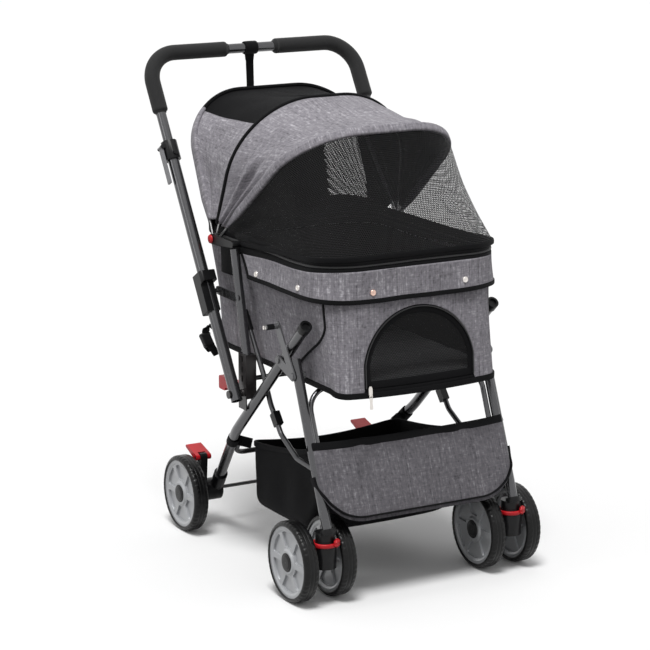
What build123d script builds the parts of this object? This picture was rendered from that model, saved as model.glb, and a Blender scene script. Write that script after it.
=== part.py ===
from build123d import *
import os
from math import asin, atan2, cos, degrees, hypot, radians, sin

os.makedirs("parts", exist_ok=True)

# Overall size in millimetres: the front wheels set the width, the wheels and the grip set the rest
overall_width = 505
overall_length = 700
overall_height = 940

# Clearances between pieces
seat_gap = 0.3
running_gap = 0.05
side_gap = 1.0
soft_gap = 0.5

# Wheels, all six alike
wheel_d = 150
wheel_w = 30
tyre_h = 9
tyre_round = 7
axle_d = 10
axle_end_wall = 4
hub_d = 42
hub_cap_d = 33
hub_cap_h = 1
rim_web = 22
rim_ring_w = 26
rim_lip = 5
spoke_count = 6
spoke_w = 11
window_in_r = 27
window_out_r = 56
window_round = 4
pocket_depth = 4

# Casters
caster_gap = 48
caster_trail = 47
fork_head_d = 42
fork_neck_d = 36
fork_arm_w = 28
fork_axle_d = 34
fork_head_z = 72
fork_neck_z = 112
fork_top_z = 122
king_pin_d = 14
king_pin_h = 12
axle_collar_d = 18
swivel_lock_d = 46
swivel_lock_h = 8
socket_neck_h = 16
socket_sleeve_d = 28
socket_sleeve_h = 10
socket_set = 6

# Front legs, straight tubes that lean forward
front_leg_d = 19
leg_wall = 1.5
front_leg_top = (-213, 432)
front_leg_foot_z = 141
front_leg_foot_set = 9.5

# Rear legs, straight in side view and drawn in towards the rear wheels
rear_leg_d = 20
rear_leg_top = (-249, 498)
rear_leg_bend_at = 375
rear_leg_bend_r = 150
rear_leg_foot_gap = 26
rear_leg_draw = 38
rear_track = 472
rear_axle_y = 197
rear_rod_d = 7
fold_pivot_at = 109
cap_d = 23
cap_h = 16
cap_lap = 10
cap_hollow_d = 15

# Rear wheel brackets and brake pedals
bracket_disc_d = 62
bracket_disc_w = 20
bracket_boss_d = 44
bracket_boss_w = 56
bracket_sleeve_d = 27
bracket_sleeve_h = 52
bracket_arm_w = 14
pedal_pivot = (187, 146)
pedal_lobe_r = 8
pedal_pin_d = 6
pedal_w = 32
pedal_tip_r = 3
pedal_reach = 40
pedal_rise = 14

# Leg plates, each with the fold pivot, a rivet and the front lock pin
plate_t = 3
plate_lobe_r = 9
plate_rivet_at = 30
rivet_d = 8
rivet_head_d = 13
rivet_head_h = 2.5
lock_pin_d = 10
lock_pin_len = 27
lock_radius = 206

# Handle
handle_pivot = (-33, 330)
handle_out = 29.5
handle_lower_d = 22
handle_wall = 1.3
handle_tail = 14
handle_bend_r = 62
handle_insert = 140
handle_swing = 68
grip_d = 30
grip_leg_at = 573
grip_bar_x = 50
pivot_bolt_d = 8
pivot_spacer_d = 14
pivot_bolt_head_d = 15
pivot_bolt_head_h = 3
clamp_at = 495
clamp_d = 31
clamp_h = 38
clamp_ear_t = 3
clamp_ear_r = 3.5
clamp_lever_len = 74
clamp_lever_w = 12
clamp_lever_t = 4
clamp_lever_at = 8
clamp_pin_d = 4
clamp_knob_d = 9
clamp_knob_h = 6
sleeve_from = 164
sleeve_len = 78
sleeve_half_x = 17
sleeve_front = 21
sleeve_back = 20
sleeve_round = 7
sleeve_relief = 58
sleeve_arch_round = 7
strap_w = 28
strap_t = 3
strap_len = 92
strap_clip_d = 27

# Uprights, hinge channels and thin bars
upright_out = 2.5
upright_d = 17
upright_foot = (-33.8, 380)
upright_top = (16.5, 594)
stud_d = 8
stud_len = 6
lock_plate_r = 8
channel_w = 22
channel_y = -31
channel_d = 30
channel_wall = 2.2
channel_bottom = 320
channel_top = 404
channel_lug_h = 22
channel_slot_w = 5
channel_slot_h = 13
channel_slots = 3
channel_slot_pitch = 19
cross_bar_d = 9
cross_bar_z = 355
thin_tube_d = 10
thin_wall = 1.2
brace_side_gap = 1.5
brace_upper = [(14, 473), (-62, 366), (-88, 318), (-129, 269)]
brace_lower = [(85, 238), (-10, 232)]  # set back from the front axle, height
brace_bend = 30
brace_corner = 14
brace_cap_d = 14
brace_cap_h = 40
clip_h = 17
clip_len = 26
clip_wall = 3.5
front_bar_behind = 6
front_bar_foot_z = 236
front_bar_bend = 42

# Fold levers behind the hinge channels
fold_lever_pivot = (-6, 336)
fold_lug_r = 6
fold_lug_w = 8
fold_pin_d = 6
fold_lever_w = 22
fold_lever_r = 7
fold_lever_reach = 46
fold_lever_drop = 6
fold_paddle = (26, 26)
fold_paddle_round = 4

# Cabin
cabin_bottom_z = 382
cabin_top_z = 585
cabin_side_gap = 6.5
cabin_side_taper = 20
cabin_bottom_front = -321
cabin_top_front = -305
cabin_bottom_rear = 172
cabin_top_rear = 187
cabin_bottom_round = 46
cabin_top_round = 66
cabin_wall = 3
floor_board_t = 5
floor_mat_t = 12
mat_round = 4
rim_h = 37
rim_t = 3
top_frame_d = 10
valance_bottom = 547
valance_t = 2
valance_lap = 10
valance_rear = -6
door_side = 4
door_foot = 12
door_leg_h = 40
door_top = 149
door_gap = 0.4
door_t = 2.4

# Canopy: three bows that turn on one axis, with fabric from bow to bow
canopy_pivot = (98, 600)
bow_d = 4.4
bow_hub_d = 16
bow_hub_t = 4
bow_step = 4.8
bow_side_gap = 4.2
canopy_pin_d = 6
canopy_pin_head_d = 12
canopy_pin_head_h = 2
bracket_t = 3
bracket_pivot_r = 10
boss_d = 12
boss_at = (16.5, 603)
rear_bow_lean = 33.5
rear_bow_reach = 300
rear_bow_in = 8
rear_bow_flat = 50
mid_bow_lean = -15.5
mid_bow_reach = 272
mid_bow_in = 10
mid_bow_flat = 18
front_bow_lean = -51.5
front_bow_reach = 372
front_bow_in = 14
front_bow_flat = 44
mesh_hem_lean = -86.6
mesh_hem_reach = 405
mesh_hem_round = 70
panel_t = 1.5
panel_start = 42
mesh_start = 96
cloth_gap = 0.8
panel_part = 0.6

# Basket and its front panel
basket_side_gap = 14.5
basket_rear = 36
basket_bottom_z = 84
basket_slope_rear_set = 105
basket_slope_front_set = 35
basket_front_low_z = 158
basket_rear_z = 214
basket_front_z = 276
basket_round = 14
basket_wall = 2.5
front_panel_top = 286
front_panel_side_z = 230
front_panel_bottom = 140
front_panel_flat = 40
front_panel_t = 3
rear_bar_from = 412
rear_bar_to = 468
rear_bar_bend = 26

# Places that follow from the sizes
wheel_r = wheel_d / 2
rim_r = wheel_r - tyre_h
front_axle_y = wheel_r - overall_length / 2
caster_x = overall_width / 2 - wheel_w - caster_gap / 2
caster_y = front_axle_y - caster_trail
caster_wheel_step = (caster_gap + wheel_w) / 2
rear_wheel_x = (rear_track - wheel_w) / 2
rear_leg_x = caster_x + (front_leg_d - rear_leg_d) / 2
rear_foot_x = rear_leg_x - rear_leg_draw
leg_outer_x = caster_x + front_leg_d / 2
leg_inner_x = caster_x - front_leg_d / 2
plate_x = leg_outer_x + seat_gap
front_leg_foot = (caster_y - front_leg_foot_set, front_leg_foot_z)
rear_axle = (rear_axle_y, wheel_r)
rear_leg_run = hypot(rear_axle[0] - rear_leg_top[0], rear_axle[1] - rear_leg_top[1])
rear_leg_len = rear_leg_run - rear_leg_foot_gap
bracket_x = rear_wheel_x - wheel_w / 2 - side_gap
pedal_x = bracket_x - side_gap - pedal_w / 2
bar_y = overall_length / 2 - grip_d / 2
bar_z = overall_height - grip_d / 2
handle_lean = degrees(atan2(bar_y - handle_pivot[0], bar_z - handle_pivot[1]))
handle_len = hypot(bar_y - handle_pivot[0], bar_z - handle_pivot[1])
handle_upper_d = handle_lower_d - 2 * handle_wall - 2 * running_gap
handle_x = caster_x + handle_out
handle_inner_x = handle_x - handle_lower_d / 2
clamp_lever_x = handle_x + clamp_d / 2 + soft_gap + clamp_ear_r
upright_x = caster_x + upright_out
channel_x = upright_x
lock_plate_x = upright_x + plate_t + 1
brace_x = leg_inner_x - thin_tube_d / 2 - brace_side_gap
brace_side = brace_upper + [(front_axle_y + back, z) for back, z in brace_lower]
clip_inner_x = brace_x - thin_tube_d / 2 - clip_wall
basket_half = brace_x - thin_tube_d / 2 - basket_side_gap
basket_slope_rear = front_axle_y + basket_slope_rear_set
basket_slope_front = front_axle_y + basket_slope_front_set
front_panel_half = leg_outer_x
cabin_top_half = upright_x - upright_d / 2 - cabin_side_gap
cabin_bottom_half = cabin_top_half - cabin_side_taper
door_half = cabin_bottom_half - cabin_bottom_round - door_side
rim_half = cabin_top_half + rim_t
rim_z = cabin_top_z + seat_gap
front_bow_x = rim_half + bow_side_gap
rear_bow_top = cabin_top_half - rear_bow_in
mid_bow_top = cabin_top_half - mid_bow_in
front_bow_top = cabin_top_half - front_bow_in
rear_bow_round = rear_bow_top - rear_bow_flat
mid_bow_round = mid_bow_top - mid_bow_flat
front_bow_round = front_bow_top - front_bow_flat
bow_x = {"front": front_bow_x, "mid": front_bow_x + bow_step, "rear": front_bow_x + 2 * bow_step}
canopy_plate_x = bow_x["rear"] + bow_hub_t / 2 + soft_gap


def along(start, end, distance):
    """Point in side view, a distance from start towards end."""
    share = distance / hypot(end[0] - start[0], end[1] - start[1])
    return (start[0] + share * (end[0] - start[0]), start[1] + share * (end[1] - start[1]))


def turned(centre, radius, lean):
    """Point in side view at a radius from centre, leaning back from upright."""
    return (centre[0] + radius * sin(radians(lean)), centre[1] + radius * cos(radians(lean)))


def at_x(x, point):
    """Point of the side view at one x."""
    return (x, point[0], point[1])


def leaning_plane(pivot, lean):
    """Plane through a line along X, its y direction leaning back from upright."""
    normal = (0, -cos(radians(lean)), sin(radians(lean)))
    return Plane(origin=(0, pivot[0], pivot[1]), x_dir=(1, 0, 0), z_dir=normal)


def run_plane(start, end):
    """Plane square to a straight run, at its start."""
    return Plane(origin=start, z_dir=Vector(*end) - Vector(*start))


def rear_leg_at(distance):
    """Point on the rear leg's axis, a distance in side view from its top."""
    drawn_in = max(0, distance - rear_leg_bend_at) / (rear_leg_len - rear_leg_bend_at)
    x = rear_leg_x + drawn_in * (rear_foot_x - rear_leg_x)
    return at_x(x, along(rear_leg_top, rear_axle, distance))


def tube(points, outer, wall, bend):
    """Round tube along straight runs joined by arcs."""
    with BuildPart() as made:
        with BuildLine() as path:
            if len(points) == 2:
                Line(*points)
            else:
                FilletPolyline(*points, radius=bend)
        with BuildSketch(Plane(origin=path.line @ 0, z_dir=path.line % 0)):
            Circle(outer / 2)
            if wall:
                Circle(outer / 2 - wall, mode=Mode.SUBTRACT)
        sweep()
    return made.part


def on_side(side, right_part):
    """The right piece itself, or its mirror image for the left."""
    with BuildPart() as made:
        if side == "left":
            mirror(right_part, about=Plane.YZ)
        else:
            add(right_part)
    return made.part


def rounded_box(half, front, rear, corner):
    """Rounded rectangle in plan between a front and a rear."""
    with Locations((0, (front + rear) / 2)):
        RectangleRounded(2 * half, rear - front, corner)


fold_pivot = along(rear_leg_top, rear_axle, fold_pivot_at)
handle_plane = leaning_plane(handle_pivot, handle_lean)
pin_stop = (handle_lower_d + lock_pin_d) / 2 + soft_gap
lock_pin = turned(handle_pivot, lock_radius, handle_lean - handle_swing - degrees(asin(pin_stop / lock_radius)))
lock_stud = turned(handle_pivot, lock_radius, handle_lean)
plate_rivet = along(front_leg_top, front_leg_foot, plate_rivet_at)

# Wheel rim: hub, web and ring turned about the axle, sunk windows between the spokes, cap on the outer end
with BuildPart() as rim:
    ring_r = rim_r - running_gap
    hub_end = wheel_w / 2 - hub_cap_h
    web = rim_web / 2
    lip = rim_ring_w / 2
    with BuildSketch(Plane.XY):
        with BuildLine():
            Polyline(
                (-hub_end, 0),
                (-hub_end, hub_d / 2),
                (-web, hub_d / 2 + pocket_depth),
                (-web, ring_r - rim_lip - pocket_depth),
                (-lip, ring_r - rim_lip),
                (-lip, ring_r),
                (lip, ring_r),
                (lip, ring_r - rim_lip),
                (web, ring_r - rim_lip - pocket_depth),
                (web, hub_d / 2 + pocket_depth),
                (hub_end, hub_d / 2),
                (hub_end, 0),
                close=True,
            )
        make_face()
    revolve(axis=Axis.X)
    for face in (1, -1):
        with BuildSketch(Plane.YZ.offset(face * web)):
            Circle(window_out_r)
            Circle(window_in_r, mode=Mode.SUBTRACT)
            with PolarLocations(0, spoke_count):
                Rectangle(2 * ring_r, spoke_w, mode=Mode.SUBTRACT)
            fillet(vertices(), radius=window_round)
        extrude(amount=-face * pocket_depth, mode=Mode.SUBTRACT)
    with BuildSketch(Plane.YZ.offset(hub_end)):
        Circle(hub_cap_d / 2)
    extrude(amount=hub_cap_h)
    with BuildSketch(Plane.YZ.offset(-hub_end)):
        Circle(axle_d / 2 + running_gap)
    extrude(amount=2 * hub_end - axle_end_wall + side_gap, mode=Mode.SUBTRACT)

with BuildPart() as rim_facing_left:
    mirror(rim.part, about=Plane.YZ)

# Tyre: a band with rounded shoulders
with BuildPart() as tyre:
    with BuildSketch(Plane.XY):
        with Locations((0, wheel_r - tyre_h / 2)):
            Rectangle(wheel_w, tyre_h)
        fillet(vertices().group_by(Axis.Y)[-1], radius=tyre_round)
    revolve(axis=Axis.X)

# Six wheels: place across, place along and the side that the hub cap faces
wheel_sites = {
    "front_left_outer": (-caster_x - caster_wheel_step, front_axle_y, rim_facing_left),
    "front_left_inner": (-caster_x + caster_wheel_step, front_axle_y, rim),
    "front_right_inner": (caster_x - caster_wheel_step, front_axle_y, rim_facing_left),
    "front_right_outer": (caster_x + caster_wheel_step, front_axle_y, rim),
    "rear_left": (-rear_wheel_x, rear_axle_y, rim_facing_left),
    "rear_right": (rear_wheel_x, rear_axle_y, rim),
}
for site, (wheel_x, wheel_y, rim_part) in wheel_sites.items():
    with BuildPart() as wheel_rim:
        with Locations((wheel_x, wheel_y, wheel_r)):
            add(rim_part.part)
    wheel_rim.part.label = f"rim_{site}"
    export_step(wheel_rim.part, f"parts/rim_{site}.step")
    with BuildPart() as wheel_tyre:
        with Locations((wheel_x, wheel_y, wheel_r)):
            add(tyre.part)
    wheel_tyre.part.label = f"tyre_{site}"
    export_step(wheel_tyre.part, f"parts/tyre_{site}.step")

# Caster fork: round head, trailing arm, king pin and the axle with its collars
with BuildPart() as fork_right:
    with BuildSketch(Plane.XY.offset(fork_head_z)):
        with Locations((caster_x, caster_y)):
            Circle(fork_head_d / 2)
    extrude(amount=fork_neck_z - fork_head_z)
    with BuildSketch(Plane.YZ.offset(caster_x - fork_arm_w / 2)):
        with Locations((front_axle_y, wheel_r)):
            Circle(fork_axle_d / 2)
        with Locations((caster_y, fork_head_z + fork_axle_d / 2)):
            Circle(fork_axle_d / 2)
        make_hull()
    extrude(amount=fork_arm_w)
    with BuildSketch(Plane.XY.offset(fork_neck_z)):
        with Locations((caster_x, caster_y)):
            Circle(fork_neck_d / 2)
    extrude(amount=fork_top_z - fork_neck_z)
    with BuildSketch(Plane.XY.offset(fork_top_z)):
        with Locations((caster_x, caster_y)):
            Circle(king_pin_d / 2)
    extrude(amount=king_pin_h)
    with BuildSketch(Plane.YZ.offset(caster_x)):
        with Locations((front_axle_y, wheel_r)):
            Circle(axle_collar_d / 2)
    extrude(amount=caster_gap / 2 + hub_cap_h - soft_gap, both=True)
    with BuildSketch(Plane.YZ.offset(caster_x)):
        with Locations((front_axle_y, wheel_r)):
            Circle(axle_d / 2)
    extrude(amount=caster_gap / 2 + wheel_w - axle_end_wall - hub_cap_h, both=True)

# Swivel lock: a ring that slides up from the fork's neck over the socket's neck
with BuildPart() as swivel_lock_right:
    with BuildSketch(Plane.XY.offset(fork_neck_z + soft_gap)):
        with Locations((caster_x, caster_y)):
            Circle(swivel_lock_d / 2)
            Circle(fork_neck_d / 2 + seat_gap, mode=Mode.SUBTRACT)
    extrude(amount=swivel_lock_h)

for side in ("left", "right"):
    with BuildPart() as fork:
        add(on_side(side, fork_right.part))
    fork.part.label = f"caster_fork_{side}"
    export_step(fork.part, f"parts/caster_fork_{side}.step")
    with BuildPart() as swivel_lock:
        add(on_side(side, swivel_lock_right.part))
    swivel_lock.part.label = f"swivel_lock_{side}"
    export_step(swivel_lock.part, f"parts/swivel_lock_{side}.step")

# Caster sockets: an upright neck for the king pin and a leaning sleeve for the leg
socket_low = along(front_leg_foot, front_leg_top, -socket_set)
with BuildPart() as caster_sockets:
    with BuildSketch(Plane.XY.offset(fork_top_z + soft_gap)):
        with Locations((caster_x, caster_y)):
            Circle(fork_neck_d / 2)
    extrude(amount=socket_neck_h)
    with BuildSketch(run_plane(at_x(caster_x, socket_low), at_x(caster_x, front_leg_top))):
        Circle(socket_sleeve_d / 2)
    extrude(amount=socket_sleeve_h)
    with BuildSketch(run_plane(at_x(caster_x, front_leg_foot), at_x(caster_x, front_leg_top))):
        Circle(front_leg_d / 2 + running_gap)
    extrude(amount=socket_sleeve_h, mode=Mode.SUBTRACT)
    with BuildSketch(Plane.XY.offset(fork_top_z)):
        with Locations((caster_x, caster_y)):
            Circle(king_pin_d / 2 + running_gap)
    extrude(amount=king_pin_h + soft_gap, mode=Mode.SUBTRACT)
    mirror(about=Plane.YZ)
caster_sockets.part.label = "caster_sockets"
export_step(caster_sockets.part, "parts/caster_sockets.step")

# Front legs, drilled for the plate rivet
with BuildPart() as front_legs:
    add(tube([at_x(caster_x, front_leg_foot), at_x(caster_x, front_leg_top)], front_leg_d, leg_wall, 0))
    with BuildSketch(Plane.YZ.offset(caster_x)):
        with Locations(plate_rivet):
            Circle(rivet_d / 2 + running_gap)
    extrude(amount=front_leg_d, both=True, mode=Mode.SUBTRACT)
    mirror(about=Plane.YZ)
front_legs.part.label = "front_legs"
export_step(front_legs.part, "parts/front_legs.step")

# Leg plates: one strip from rivet to lock pin, one arm to the fold pivot
with BuildPart() as leg_plates:
    for lobes in ((plate_rivet, lock_pin), (plate_rivet, fold_pivot)):
        with BuildSketch(Plane.YZ.offset(plate_x)):
            for lobe in lobes:
                with Locations(lobe):
                    Circle(plate_lobe_r)
            make_hull()
        extrude(amount=plate_t)
    with BuildSketch(Plane.YZ.offset(plate_x)):
        with Locations(plate_rivet, fold_pivot):
            Circle(rivet_d / 2)
    extrude(amount=-front_leg_d - 2 * side_gap)
    with BuildSketch(Plane.YZ.offset(plate_x - front_leg_d - 2 * side_gap)):
        with Locations(plate_rivet, fold_pivot):
            Circle(rivet_head_d / 2)
    extrude(amount=-rivet_head_h)
    with BuildSketch(Plane.YZ.offset(plate_x + plate_t)):
        with Locations(plate_rivet, fold_pivot):
            Circle(rivet_head_d / 2)
    extrude(amount=rivet_head_h)
    with BuildSketch(Plane.YZ.offset(plate_x + plate_t)):
        with Locations(lock_pin):
            Circle(lock_pin_d / 2)
    extrude(amount=lock_pin_len)
    mirror(about=Plane.YZ)
leg_plates.part.label = "leg_plates"
export_step(leg_plates.part, "parts/leg_plates.step")

# Rear legs with the hole for the fold pivot
with BuildPart() as rear_legs:
    add(tube([rear_leg_at(0), rear_leg_at(rear_leg_bend_at), rear_leg_at(rear_leg_len)],
             rear_leg_d, leg_wall, rear_leg_bend_r))
    with BuildSketch(Plane.YZ.offset(rear_leg_x)):
        with Locations(fold_pivot):
            Circle(rivet_d / 2 + running_gap)
    extrude(amount=rear_leg_d, both=True, mode=Mode.SUBTRACT)
    mirror(about=Plane.YZ)
rear_legs.part.label = "rear_legs"
export_step(rear_legs.part, "parts/rear_legs.step")

# End caps on the rear legs, hollow at the end
cap_plane = run_plane(rear_leg_at(cap_lap - cap_h), rear_leg_at(cap_lap))
with BuildPart() as rear_leg_caps:
    with BuildSketch(cap_plane):
        Circle(cap_d / 2)
    extrude(amount=cap_h)
    with BuildSketch(cap_plane.offset(cap_h - cap_lap)):
        Circle(rear_leg_d / 2 + running_gap)
    extrude(amount=cap_lap, mode=Mode.SUBTRACT)
    with BuildSketch(cap_plane):
        Circle(cap_hollow_d / 2)
    extrude(amount=(cap_h - cap_lap) * 0.7, mode=Mode.SUBTRACT)
    mirror(about=Plane.YZ)
rear_leg_caps.part.label = "rear_leg_caps"
export_step(rear_leg_caps.part, "parts/rear_leg_caps.step")

# Thin bar between the rear legs, bent along each leg at its ends
bar_set = (rear_leg_d + thin_tube_d) / 2 + seat_gap
bar_ends = [rear_leg_at(rear_bar_from), rear_leg_at(rear_bar_to)]
bar_right = [(x - bar_set, y, z) for x, y, z in bar_ends]
bar_left = [(-x, y, z) for x, y, z in reversed(bar_right)]
with BuildPart() as rear_bar:
    add(tube(bar_right + bar_left, thin_tube_d, thin_wall, rear_bar_bend))
rear_bar.part.label = "rear_bar"
export_step(rear_bar.part, "parts/rear_bar.step")

# Rear axle: a thin rod with a thicker end in each bracket and wheel
with BuildPart() as rear_axle_rod:
    with BuildSketch(Plane.YZ):
        with Locations(rear_axle):
            Circle(rear_rod_d / 2)
    extrude(amount=bracket_x, both=True)
    for side in (1, -1):
        with BuildSketch(Plane.YZ.offset(side * (bracket_x - bracket_boss_w))):
            with Locations(rear_axle):
                Circle(axle_d / 2)
        extrude(amount=side * (bracket_boss_w + side_gap + wheel_w - axle_end_wall - hub_cap_h))
rear_axle_rod.part.label = "rear_axle"
export_step(rear_axle_rod.part, "parts/rear_axle.step")

# Rear wheel brackets: brake disc, axle boss, leg sleeve and the arm with the pedal pin
sleeve_start = rear_leg_at(rear_leg_len + rear_leg_foot_gap / 2)
sleeve_plane = run_plane(sleeve_start, rear_leg_at(rear_leg_len - bracket_sleeve_h))
with BuildPart() as wheel_brackets:
    with BuildSketch(Plane.YZ.offset(bracket_x)):
        with Locations(rear_axle):
            Circle(bracket_disc_d / 2)
    extrude(amount=-bracket_disc_w)
    with BuildSketch(Plane.YZ.offset(bracket_x)):
        with Locations(rear_axle):
            Circle(bracket_boss_d / 2)
    extrude(amount=-bracket_boss_w)
    with BuildSketch(sleeve_plane):
        Circle(bracket_sleeve_d / 2)
    extrude(amount=bracket_sleeve_h)
    with BuildSketch(Plane.YZ.offset(pedal_x)):
        with Locations(rear_axle):
            Circle(1.5 * pedal_lobe_r)
        with Locations(pedal_pivot):
            Circle(pedal_lobe_r)
        make_hull()
    extrude(amount=bracket_arm_w / 2, both=True)
    with BuildSketch(Plane.YZ.offset(bracket_x)):
        with Locations(rear_axle):
            Circle(axle_d / 2 + running_gap)
    extrude(amount=-bracket_boss_w, mode=Mode.SUBTRACT)
    with BuildSketch(run_plane(rear_leg_at(rear_leg_len), rear_leg_at(rear_leg_len - bracket_sleeve_h))):
        Circle(rear_leg_d / 2 + running_gap)
    extrude(amount=2 * bracket_sleeve_h, mode=Mode.SUBTRACT)
    with BuildSketch(Plane.YZ.offset(pedal_x)):
        with Locations(pedal_pivot):
            Circle(pedal_pin_d / 2)
    extrude(amount=pedal_w / 2, both=True)
    mirror(about=Plane.YZ)
wheel_brackets.part.label = "wheel_brackets"
export_step(wheel_brackets.part, "parts/wheel_brackets.step")

# Brake pedals: a flat foot pedal with a slot that straddles the bracket's arm
with BuildPart() as pedal_right:
    with BuildSketch(Plane.YZ.offset(pedal_x)):
        with Locations(pedal_pivot):
            Circle(pedal_pin_d / 2 + pedal_tip_r)
        with Locations((pedal_pivot[0] + pedal_reach, pedal_pivot[1] + pedal_rise)):
            Circle(pedal_tip_r)
        make_hull()
    extrude(amount=pedal_w / 2, both=True)
    with BuildSketch(Plane.YZ.offset(pedal_x)):
        with Locations(pedal_pivot):
            Circle(pedal_lobe_r + 3 * side_gap)
    extrude(amount=bracket_arm_w / 2 + side_gap, both=True, mode=Mode.SUBTRACT)
    with BuildSketch(Plane.YZ.offset(pedal_x)):
        with Locations(pedal_pivot):
            Circle(pedal_pin_d / 2 + running_gap)
    extrude(amount=pedal_w, both=True, mode=Mode.SUBTRACT)
for side in ("left", "right"):
    with BuildPart() as pedal:
        add(on_side(side, pedal_right.part))
    pedal.part.label = f"brake_pedal_{side}"
    export_step(pedal.part, f"parts/brake_pedal_{side}.step")

# Uprights with the lock plate and stud welded on
upright_mid = (upright_foot[0] + (lock_stud[1] - upright_foot[1]) * (upright_top[0] - upright_foot[0])
               / (upright_top[1] - upright_foot[1]), lock_stud[1])
with BuildPart() as uprights:
    add(tube([at_x(upright_x, upright_foot), at_x(upright_x, upright_top)], upright_d, leg_wall, 0))
    with BuildSketch(Plane.YZ.offset(lock_plate_x)):
        for lobe in (upright_mid, lock_stud):
            with Locations(lobe):
                Circle(lock_plate_r)
        make_hull()
    extrude(amount=plate_t)
    with BuildSketch(Plane.YZ.offset(lock_plate_x + plate_t)):
        with Locations(lock_stud):
            Circle(stud_d / 2)
    extrude(amount=stud_len)
    mirror(about=Plane.YZ)
uprights.part.label = "uprights"
export_step(uprights.part, "parts/uprights.step")

# Hinge channels: slotted U sections with the handle's pivot bolt and the lug of the fold lever
channel_outer = channel_x + channel_w / 2
with BuildPart() as hinge_channels:
    with BuildSketch(Plane.XY.offset(channel_bottom)):
        with Locations((channel_x, channel_y)):
            Rectangle(channel_w, channel_d)
        with Locations((channel_x - channel_wall, channel_y)):
            Rectangle(channel_w, channel_d - 2 * channel_wall, mode=Mode.SUBTRACT)
    extrude(amount=channel_top - channel_bottom)
    with BuildSketch(Plane.YZ.offset(channel_outer - channel_wall)):
        with Locations((channel_y, channel_bottom)):
            Rectangle(channel_d, 2 * channel_lug_h)
    extrude(amount=channel_wall)
    with BuildSketch(Plane.YZ.offset(channel_outer)):
        with Locations((channel_y, channel_top - channel_slots * channel_slot_pitch / 2)):
            with GridLocations(0, channel_slot_pitch, 1, channel_slots):
                SlotOverall(channel_slot_h, channel_slot_w, rotation=90)
    extrude(amount=-channel_wall, mode=Mode.SUBTRACT)
    with BuildSketch(Plane.YZ.offset(channel_x - channel_w / 2)):
        with Locations(handle_pivot):
            Circle(pivot_bolt_d / 2)
    extrude(amount=handle_x + handle_lower_d / 2 + side_gap - channel_x + channel_w / 2)
    with BuildSketch(Plane.YZ.offset(channel_outer)):
        with Locations(handle_pivot):
            Circle(pivot_spacer_d / 2)
    extrude(amount=handle_inner_x - seat_gap - channel_outer)
    with BuildSketch(Plane.YZ.offset(handle_x + handle_lower_d / 2 + side_gap)):
        with Locations(handle_pivot):
            Circle(pivot_bolt_head_d / 2)
    extrude(amount=pivot_bolt_head_h)
    with BuildSketch(Plane.YZ.offset(channel_x)):
        with Locations((channel_y + channel_d / 2 - channel_wall, fold_lever_pivot[1]), fold_lever_pivot):
            Circle(fold_lug_r)
        make_hull()
        with Locations((channel_y + channel_d / 2 - channel_wall - fold_lug_r, fold_lever_pivot[1])):
            Rectangle(2 * fold_lug_r, 2 * fold_lug_r, mode=Mode.SUBTRACT)
    extrude(amount=fold_lug_w / 2, both=True)
    with BuildSketch(Plane.YZ.offset(channel_x)):
        with Locations(fold_lever_pivot):
            Circle(fold_pin_d / 2)
    extrude(amount=fold_lever_w / 2, both=True)
    mirror(about=Plane.YZ)
hinge_channels.part.label = "hinge_channels"
export_step(hinge_channels.part, "parts/hinge_channels.step")

# Fold levers: a short arm with a square paddle, slotted round the channel's lug
paddle_at = (fold_lever_pivot[0] + fold_lever_reach, fold_lever_pivot[1] - fold_lever_drop)
with BuildPart() as fold_lever_right:
    with BuildSketch(Plane.YZ.offset(channel_x)):
        with Locations(fold_lever_pivot, paddle_at):
            Circle(fold_lever_r)
        make_hull()
    extrude(amount=fold_lever_w / 2, both=True)
    with BuildSketch(Plane.YZ.offset(channel_x)):
        with Locations((paddle_at[0] + fold_paddle[0] / 2, paddle_at[1])):
            RectangleRounded(*fold_paddle, fold_paddle_round)
    extrude(amount=fold_lever_w / 2, both=True)
    with BuildSketch(Plane.YZ.offset(channel_x)):
        with Locations(fold_lever_pivot):
            Circle(fold_lug_r + 2 * side_gap)
    extrude(amount=fold_lug_w / 2 + side_gap, both=True, mode=Mode.SUBTRACT)
    with BuildSketch(Plane.YZ.offset(channel_x)):
        with Locations(fold_lever_pivot):
            Circle(fold_pin_d / 2 + running_gap)
    extrude(amount=fold_lever_w, both=True, mode=Mode.SUBTRACT)
for side in ("left", "right"):
    with BuildPart() as fold_lever:
        add(on_side(side, fold_lever_right.part))
    fold_lever.part.label = f"fold_lever_{side}"
    export_step(fold_lever.part, f"parts/fold_lever_{side}.step")

# Cross bar between the hinge channels
with BuildPart() as cross_bar:
    with BuildSketch(Plane.YZ):
        with Locations((channel_y, cross_bar_z)):
            Circle(cross_bar_d / 2)
            Circle(cross_bar_d / 2 - thin_wall, mode=Mode.SUBTRACT)
    extrude(amount=channel_outer - channel_wall - seat_gap, both=True)
cross_bar.part.label = "cross_bar"
export_step(cross_bar.part, "parts/cross_bar.step")

# Brace: one thin tube down each side and across behind the basket's front panel
brace_right = [at_x(brace_x, point) for point in brace_side]
brace_left = [(-x, y, z) for x, y, z in reversed(brace_right)]
brace_bends = [brace_bend] * 4 + [brace_corner] * 2 + [brace_bend] * 4
with BuildPart() as brace_tube:
    add(tube(brace_right + brace_left, thin_tube_d, thin_wall, brace_bends))
brace_tube.part.label = "brace_tube"
export_step(brace_tube.part, "parts/brace_tube.step")

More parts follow.
